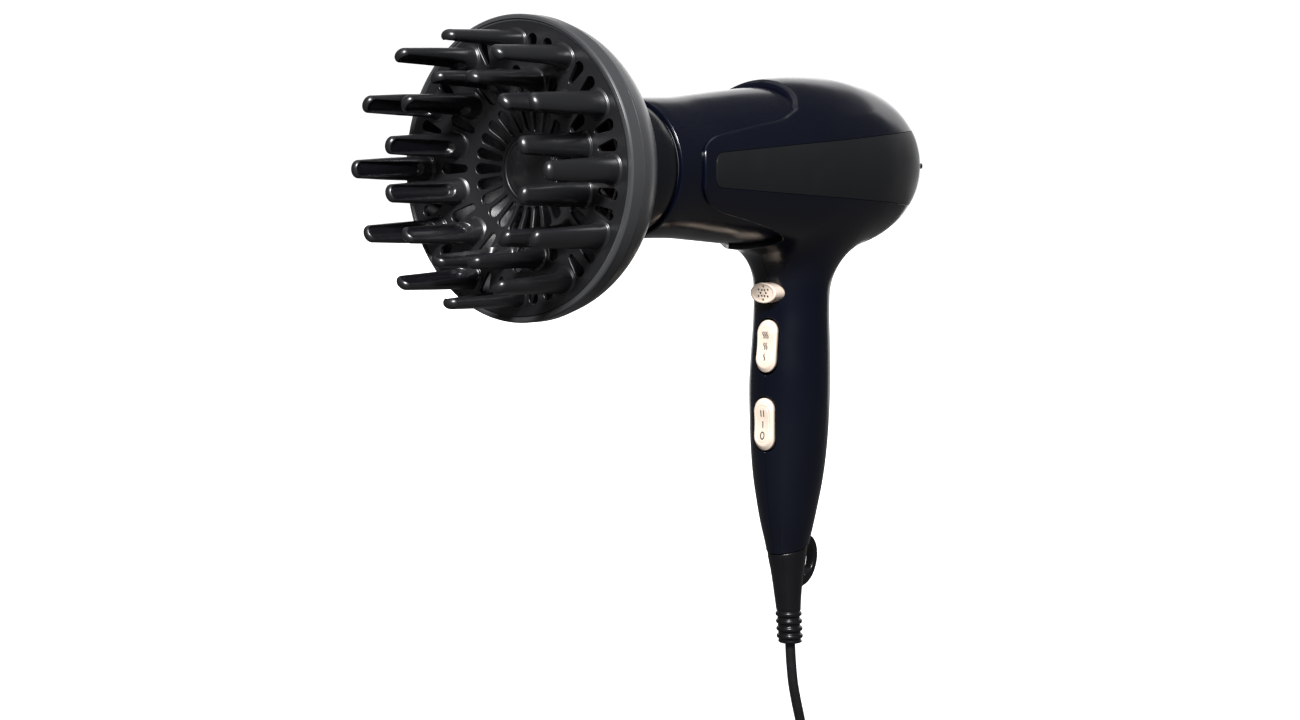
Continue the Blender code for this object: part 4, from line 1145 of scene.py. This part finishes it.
def add_fingers():
    for name, ring_radius, tip_x, offset in FINGERS:
        rings, hollow = finger_rings(ring_radius, tip_x)
        points, faces = loft(rings)
        one = np.array(points)
        flat = one[:, [0, 2, 1]]
        faces = outward(flat, faces)
        normals = weighted_normals(flat, faces)
        all_points, all_faces, all_normals = [], [], []
        for i in range(FINGERS_ROUND):
            a = math.tau * (i + offset) / FINGERS_ROUND
            c, s = math.cos(a), math.sin(a)
            y, z = one[:, 1], one[:, 2]
            all_points.append(np.stack((one[:, 0], y * s + z * c, AXIS_Z + y * c - z * s), 1))
            y, z = normals[:, 1], normals[:, 2]
            all_normals.append(np.stack((normals[:, 0], z * s + y * c, z * c - y * s), 1))
            all_faces += [tuple(v + i * len(one) for v in f) for f in faces]
        made = place_piece(f"fingers_{name}", np.concatenate(all_points), all_faces, FINGER, "diffuser",
                           np.concatenate(all_normals))
        # the hollow share tells the finger material where to paint shade in the scoops
        attribute = made.data.attributes.new("hollow", "FLOAT", "POINT")
        attribute.data.foreach_set("value", hollow * FINGERS_ROUND)


# ---------------------------------------------------------------- buttons


ARC, STRAIGHT = 18, 14  # steps along each arc and each straight side of a rocker's rings
ROCKER_HALF_HEIGHT, ROCKER_DIP, ROCKER_PIVOT = 12.6, 0.8, 4.2
ROCKER_LEVELS = (  # outward from the front, half width, half height, and share of the face's hollow
    (-2.6, 5.6, 12.6, 0), (0.25, 5.6, 12.6, 0), (0.45, 5.56, 12.5, 0), (0.65, 5.45, 12.3, 0.1),
    (1.25, 5.2, 11.5, 0.5), (1.65, 5.05, 10.95, 0.8), (1.88, 4.85, 10.5, 1), (1.97, 4.65, 10.15, 1),
    (2.0, 4.4, 9.8, 1), (2.0, 3.95, 9.2, 1), (1.97, 3.85, 9.1, 1), (1.84, 3.78, 9.03, 1),
    (1.84, 3.62, 8.87, 1), (1.97, 3.55, 8.8, 1), (2.0, 3.45, 8.7, 1),
)
COOL_HALF, COOL_DEPTH, COOL_HOLE = (7.6, 4.9), 12.0, 0.58
COOL_RIM = 0.32  # how far the button's middle lies below its rim
MARK_WIDTH, MARK_TALL, MARK_STEP, MARK_LIFT = 0.56, 3.2, 5.3, 0.07
WAVE_HALF = 0.42


def handle_front(z):
    return float(HANDLE_X(z) - HANDLE_DEPTH(z))


def stadium_ring(half_width, half_height, count=ARC, between=STRAIGHT):
    """Points (y, z) round a stadium: upper arc from right to left, left side, lower arc, right side."""
    straight = max(half_height - half_width, 0)
    ring = []
    for up in (1, -1):
        arc = [math.pi * i / count + (0 if up > 0 else math.pi) for i in range(count + 1)]
        ring += [(half_width * math.cos(a), up * straight + half_width * math.sin(a)) for a in arc]
        (y, z), end = ring[-1], (half_width * up * -1, -up * straight)
        ring += [(y + (end[0] - y) * i / between, z + (end[1] - z) * i / between) for i in range(1, between)]
    return ring


def ribbon(line, width):
    """A flat stroke along a line of (y, z) points, as such points and faces."""
    p = np.array(line, float)
    d = unit(np.gradient(p, axis=0))
    side = np.stack((-d[:, 1], d[:, 0]), 1) * width / 2
    points = np.stack((p + side, p - side), 1).reshape(-1, 2)
    return points, [(2 * i, 2 * i + 1, 2 * i + 3, 2 * i + 2) for i in range(len(p) - 1)]


def wave(y, z, tall):
    return [(y + WAVE_HALF * math.sin(math.tau * t), z + tall * (0.5 - t)) for t in np.linspace(0, 1, 13)]


def bar(y, z, tall):
    return [(y, z + tall * (0.5 - t)) for t in np.linspace(0, 1, 5)]


def ring_stroke(y, z, wide, tall):
    return [(y + wide / 2 * math.cos(a), z + tall / 2 * math.sin(a)) for a in np.linspace(0, math.tau, 25)]


def add_rocker(name, z, strokes):
    rise = ROCKER_HALF_HEIGHT
    front = (handle_front(z - 8) + handle_front(z + 8)) / 2
    pivot = front + ROCKER_PIVOT
    lean = math.atan2(handle_front(z + rise) - handle_front(z - rise), 2 * rise)
    c, s = math.cos(lean), math.sin(lean)

    def placed(points):
        """From (outward, y, z from the pivot) to the frame, leaning with the handle's front."""
        p = np.asarray(points, float)
        x, zz = p[:, 0] - pivot, p[:, 2]
        return np.stack((pivot + x * c + zz * s, p[:, 1], z - x * s + zz * c), 1)

    def dip(zz, y):
        """How far the face is hollowed at its middle."""
        return ROCKER_DIP * max(0.0, 1 - (zz / 8.5) ** 2) ** 2 * (1 - 0.25 * (y / 4.9) ** 2)

    levels = [*ROCKER_LEVELS, *[(2.0, 3.45 - 0.36 * i, 8.7 - 0.36 * i, 1) for i in range(1, 9)]]
    rings = []
    for out, width, height, share in levels:
        rings.append([(front - out + share * dip(b, a), a, b) for a, b in stadium_ring(width, height)])
    points, faces = loft(rings, True, False)
    count = len(rings[0])
    inner = list(range(len(points) - count, len(points))) + [len(points) - count]
    left, right = inner[ARC:ARC + STRAIGHT + 1], inner[2 * ARC + STRAIGHT:][::-1]
    faces += [tuple(inner[:ARC + 1]), tuple(inner[ARC + STRAIGHT:2 * ARC + STRAIGHT + 1])]
    for i in range(STRAIGHT):
        faces.append((left[i], left[i + 1], right[i + 1], right[i]))
    place_solid(f"{name}_key", placed(points), faces, ROSE, f"{name}_rocker", [f"{name}_rocker"])
    all_points, all_faces = [], []
    for line in strokes:
        made, strips = ribbon(line, MARK_WIDTH)
        start = len(all_points)
        all_points += [(front - 2.0 - MARK_LIFT + dip(b, a), a, b) for a, b in made]
        all_faces += [tuple(start + v for v in f) for f in strips]
    place_piece(f"{name}_marks", placed(all_points), all_faces, PRINT, f"{name}_rocker")


def add_cool_button():
    face = handle_front(COOL_Z) - 5.0

    def crown(p):
        k = np.hypot(p[:, 1] / COOL_HALF[0], (p[:, 2] - COOL_Z) / COOL_HALF[1])
        edge = np.clip((k - 0.72) / 0.14, 0, 1)
        lower = COOL_RIM * (1 - edge * edge * (3 - 2 * edge))
        return face + lower - p[:, 0]

    skin = plane_skin(crown, (-9.2, COOL_Z - 6.4), (9.2, COOL_Z + 6.4), 0.36, 0, face)
    skin.cut(lambda p: -oval_line(p, COOL_Z, *COOL_HALF), 0.6, COOL_DEPTH)
    for radius, turn in ((1.6, 30), (3.15, 0)):
        for i in range(6):
            a = math.radians(turn + 60 * i + 90)
            y, z = radius * math.cos(a), COOL_Z + radius * math.sin(a)
            skin.cut(lambda p, y=y, z=z: np.hypot(p[:, 1] - y, p[:, 2] - z) - COOL_HOLE, 0.05, 0.9)
    place_skin("cool_key", skin.shell(COOL_DEPTH, False), ROSE, "cool_button", ["cool_button"])
    # painted shade: a dark sheet behind the vent holes, standing in for the shade within them
    floor = [(face + 0.66, 6 * math.cos(a), COOL_Z + 4 * math.sin(a)) for a in circle(32)]
    place_piece("cool_key_floor", floor, [tuple(range(31, -1, -1))], VENT_SHADE, "cool_button")


def add_controls():
    heat = [wave(y, MARK_STEP, MARK_TALL) for y in (-1.15, 0.0, 1.15)]
    heat += [wave(y, 0, MARK_TALL) for y in (-0.6, 0.6)] + [wave(0, -MARK_STEP, MARK_TALL)]
    speed = [bar(y, MARK_STEP, MARK_TALL) for y in (-0.8, 0.8)]
    speed += [bar(0, 0, MARK_TALL), ring_stroke(0, -MARK_STEP, 2.1, 3.3)]
    add_rocker("heat", HEAT_Z, heat)
    add_rocker("speed", SPEED_Z, speed)
    add_cool_button()


# ---------------------------------------------------------------- strain relief, plug and tie


def oval_ring(x, z, half_x, half_y, tilt):
    """A flat oval of points; tilt raises it towards +X."""
    return [(x + half_x * math.cos(a), half_y * math.sin(a), z + tilt * (half_x * math.cos(a)))
            for a in circle(48)]


def away(p, ring):
    """How far points are from a closed line in the XZ plane, positive outside it."""
    q = p[:, [0, 2]][:, None]
    d = np.roll(ring, -1, 0) - ring
    t = np.clip(((q - ring) * d).sum(-1) / np.maximum((d * d).sum(-1), 1e-9), 0, 1)
    far = np.linalg.norm(q - ring - t[..., None] * d, axis=-1).min(1)
    level = np.where(d[:, 1] == 0, 1e-9, d[:, 1])
    spans = (ring[:, 1] > q[..., 1]) != (np.roll(ring[:, 1], -1) > q[..., 1])
    crossings = spans & (q[..., 0] < d[:, 0] * (q[..., 1] - ring[:, 1]) / level + ring[:, 0])
    return np.where(crossings.sum(1) % 2 == 1, -far, far)


RELIEF_SECTIONS = (  # z, x, half size along X and Y, and tilt
    (-79.75, -1.8, 9.9, 8.9, 0.238), (-79.85, -1.8, 10.25, 9.2, 0.238), (-80.2, -1.8, 10.45, 9.35, 0.235),
    (-82.5, -1.8, 10.1, 9.2, 0.2), (-86, -1.75, 9.35, 8.9, 0.13), (-90, -1.7, 8.45, 8.3, 0.06),
    (-94, -1.6, 7.8, 7.75, 0.02), (-98, -1.5, 7.25, 7.25, 0), (-102, -1.3, 6.8, 6.8, 0),
    (-106, -1.0, 6.4, 6.4, 0), (-109.6, -0.7, 6.1, 6.1, 0), (-110.9, -0.55, 5.95, 5.95, 0),
)
RIB = ((0, 5.55), (0.25, 5.95), (0.55, 6.3), (0.95, 6.42), (1.6, 6.42), (2.0, 6.3), (2.3, 5.95), (2.55, 5.55),
       (2.9, 5.45), (3.4, 5.45))
RELIEF_END = ((-126.1, 0.85, 5.9), (-126.6, 0.9, 5.8), (-127.0, 0.9, 5.3), (-127.1, 0.9, 2.7))
LOOP = ((4, -80.4), (10.8, -78.4), (12.4, -76.0), (16.2, -76.4), (19.7, -80.8), (20.4, -87.5), (17.6, -94.4),
        (12.4, -98.8), (4, -101.3))
LOOP_HOLE = ((10.2, -82.0), (14.2, -80.6), (16.5, -84), (16.2, -89.5), (13.8, -93.2), (9.6, -94.9),
             (9.1, -88), (10.2, -82.0))
LOOP_HALF = 2.3


def add_relief():
    sections = list(RELIEF_SECTIONS)
    for i in range(4):
        sections += [(-111.3 - 3.7 * i - down, -0.5 + 0.35 * i, r, r, 0) for down, r in RIB]
    sections += [(z, x, r, r, 0) for z, x, r in RELIEF_END]
    points, faces = loft([oval_ring(x, z, a, b, tilt) for z, x, a, b, tilt in sections])
    place_solid("relief_boot", points, faces, RUBBER, "housing", ["strain_relief"])
    outline, hole = np.array(catmull(LOOP, 6)), np.array(catmull(LOOP_HOLE, 6))[:-1]
    skin = plane_skin(lambda p: p[:, 1] - LOOP_HALF, (-103, 2), (-74, 24), 0.8, 1, LOOP_HALF)
    skin.cut(lambda p: -away(p, outline), 0.75, LOOP_HALF)
    skin.cut(lambda p: away(p, hole), 0.6, LOOP_HALF)
    half = skin.shell(LOOP_HALF, False)
    other = mirrored(*half)
    faces = list(half[1]) + [tuple(v + len(half[0]) for v in f) for f in other[1]]
    both = np.concatenate((half[0], other[0])), faces, np.concatenate((half[2], other[2]))
    place_skin("hang_loop", both, RUBBER, "housing")


PLUG_Y, PLUG_Z = -52.1, -188.0
PLUG_SECTIONS = (  # x, and half size along Y and Z
    (-136.5, 5.3, 5.3), (-138.5, 6.6, 6.2), (-141, 10.2, 7.9), (-144, 13.2, 9.5), (-148, 15.6, 10.9),
    (-153, 17.2, 11.8), (-158, 17.7, 12.0), (-166, 17.8, 12.0), (-170.6, 17.4, 11.7), (-171.6, 17.0, 11.4),
    (-172, 16.3, 10.8),
)
TIE_INNER, TIE_OUTER, TIE_HIGH, TIE_TURN = 18.6, 41.4, -187.2, math.radians(130)
TIE_SECTION = ((-2.9, -1), (-2.9, 1), (-2.6, 1.02), (2.6, 1.02), (2.9, 1), (2.9, -1), (2.6, -1.02),
               (-2.6, -1.02))
TIE_HALF = 0.48


def add_plug():
    """The plug and its two pins."""
    sections = [(-118.1, 3.0, 3.0), (-118.3, 3.9, 3.9), (-119.0, 4.3, 4.3)]
    for i in range(5):
        for along, r in ((0, 4.4), (0.3, 4.75 + 0.12 * i), (1.6, 4.8 + 0.14 * i), (1.9, 4.45 + 0.12 * i)):
            sections.append((-120.2 - 3.1 * i - along, r, r))
    rings = []
    for x, width, height in (*sections, *PLUG_SECTIONS):
        power = 2 / (2.0 + 0.7 * ease((-138 - x) / 10))
        ring = []
        for a in circle(56):
            c, s = math.cos(a), math.sin(a)
            ring.append((x, PLUG_Y + width * math.copysign(abs(c) ** power, c),
                         PLUG_Z + height * math.copysign(abs(s) ** power, s)))
        rings.append(ring)
    made = [place_solid("plug", *loft(rings), CABLE, "housing", ["plug_body"])]
    for number, y in ((1, -42.6), (2, -61.6)):
        outline = rounded([(-171.5, 0.0), (-171.5, 2.4), (-191.3, 2.4), (-191.3, 0.0)], (0, 0, 0.9, 0), 6)
        made.append(lathe(f"plug_pin_{number}_metal", outline, NICKEL, "housing", (y, PLUG_Z), closed=False,
                          count=40, replaces=[f"plug_pin_{number}"]))
    return made


def add_tie():
    """The band round the coil."""
    low = FLOOR_Z + 0.5
    path = [(TIE_INNER, low), (TIE_OUTER, low), (TIE_OUTER, TIE_HIGH), (TIE_INNER, TIE_HIGH)]
    path = rounded(path, 1.6, 5, True)
    c, s = math.cos(TIE_TURN), math.sin(TIE_TURN)
    points = []
    for i, place in enumerate(path):
        d = unit(np.array(path[(i + 1) % len(path)]) - np.array(path[i - 1]))
        side = np.array((d[1], -d[0])) * TIE_HALF
        for across, up in TIE_SECTION:
            r, z = np.array(place) + side * up
            points.append((COIL_CENTRE[0] + r * c - across * s, COIL_CENTRE[1] + r * s + across * c, z))
    faces = tube_faces(len(path), len(TIE_SECTION), True)
    return place_solid("coil_tie", points, faces, RUBBER, "housing", ["cord_tie"])


# ---------------------------------------------------------------- intake cover

COVER_X = Curve((
    (0, 76.2), (5, 76.15), (10.5, 75.8), (18.6, 74.2), (24.4, 71.6), (28.4, 68.5), (30.9, 65.3),
), blur=0.8)


def cover_field(p):
    r = from_axis(p)
    return (p[:, 0] - COVER_X(r)) / np.hypot(1, COVER_X.slope(r))


def add_cover():
    skin = polar_skin(cover_field, 0.6, 30.9, 0.6, 192, 70.0)
    skin.cut(lambda p: 30.4 - from_axis(p), 0.3, 1.4)
    skin.cut(lambda p: from_axis(p) - 1.0, 0.0, 1.0)
    skin.cut(lambda p: teardrop_line(p, 7.5, 21.5, 0.9, 1.9, 16), 0.35, 1.8)
    skin.cut(lambda p: np.abs(from_axis(p) - 24.6) - 0.12, 0.12, 0.4)
    place_skin("rear_cover", skin.shell(1.8, False), GLOSS, "intake_cover", ["intake_cover"])
    hub = [(76.25, 0.0), (76.2, 0.6), (76.17, 1.05), (75.0, 1.05), (75.0, 0)]
    lathe("rear_cover_centre", hub, GLOSS, "intake_cover", closed=False, count=48)
    skirt = [(66.2, 27.0), (66.2, 30.2), (65.3, 30.7), (65.3, 28.2), (58, 28.2), (58, 26.7)]
    skirt = rounded(skirt, 0.3, 3, True)
    lathe("rear_cover_skirt", skirt, GLOSS, "intake_cover")
    for side, name in ((1, "left"), (-1, "right")):
        rings = []
        for out, grow in ((28.8, 0.0), (30.5, 0.0), (30.8, -0.12), (31.0, -0.35)):
            ring = stadium_ring(0.75 + grow, 1.35 + grow, 8, 3)
            rings.append([(66.5 + a, side * out, AXIS_Z + b) for a, b in ring])
        place_solid(f"cover_tab_{name}", *loft(rings), GLOSS, "intake_cover")


def add_wells():
    """The sleeves that the handle screws sit in."""
    for (x, z, seat), name in zip(SCREWS, ("upper", "lower")):
        top = float(settle(housing_field, np.array([[x, 18.0, z]]))[0, 1]) - 0.9
        outline = [(top, 3.45), (seat - 0.2, 3.45), (seat - 0.2, 1.8)]
        outline += [(seat - 1.0, 1.8), (seat - 1.0, 3.9), (top, 3.9)]
        lathe(f"screw_well_{name}", outline, GLOSS, "housing", (x, z), "Y", count=40)


def finish_nodes():
    """Procedural materials on the CAD nodes that keep their own shape."""
    copper = brushed_metal("copper_armature", (0.62, 0.33, 0.17), 0.35, 1500)
    wire = brushed_metal("heating_wire", (0.42, 0.40, 0.39), 0.4, 2500)
    finishes = {
        HEAT_PLASTIC: ("motor_end_bell", "heat_switch", "speed_switch", "cool_switch", "lead_clamp"),
        dull("duct_plastic", (0.03, 0.03, 0.032), 0.45): ("fan_duct", "impeller"),
        dull("mica", (0.42, 0.36, 0.27), 0.4, 0.25, 250): (
            "heater_board_upright", "heater_board_level", "mica_sleeve"),
        dull("ferrite", (0.05, 0.05, 0.052), 0.6): ("magnet_left", "magnet_right"),
        dull("damper_rubber", (0.02, 0.02, 0.02), 0.75): ("motor_damper",),
        dull("fuse_ceramic", (0.62, 0.60, 0.55), 0.5): ("thermal_fuse",),
        dull("circuit_board", (0.03, 0.12, 0.05), 0.45, 0.2, 200): ("switch_board",),
        dull("wire_brown", (0.14, 0.05, 0.025), 0.4): ("supply_wire_live",),
        dull("wire_blue", (0.02, 0.07, 0.30), 0.4): ("supply_wire_neutral",),
        dull("wire_white", (0.62, 0.62, 0.6), 0.4): ("motor_wire_1", "motor_wire_2", "heater_wire"),
        CABLE: ("lead_end",),
        STEEL: (
            "outlet_grille", "motor_can", "motor_shaft", "thermostat", "heat_rocker_pin", "speed_rocker_pin",
            "cool_spring", "clamp_screw_1", "clamp_screw_2", "handle_screw_upper", "handle_screw_lower",
            "dust_screen",
        ),
        wire: ("heating_coil_front", "heating_coil_middle", "heating_coil_rear"),
        copper: ("armature",),
    }
    for skin, names in finishes.items():
        for name in names:
            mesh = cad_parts[name].data
            mesh.materials.clear()
            mesh.materials.append(skin)


# ---------------------------------------------------------------- the scene

add_camera()
add_world()
add_lights()
add_stage()
add_cord([*add_plug(), add_tie()])
add_housing()
add_barrel()
add_plate()
add_bowl()
add_collar()
add_fingers()
add_controls()
add_relief()
add_cover()
add_wells()
finish_nodes()
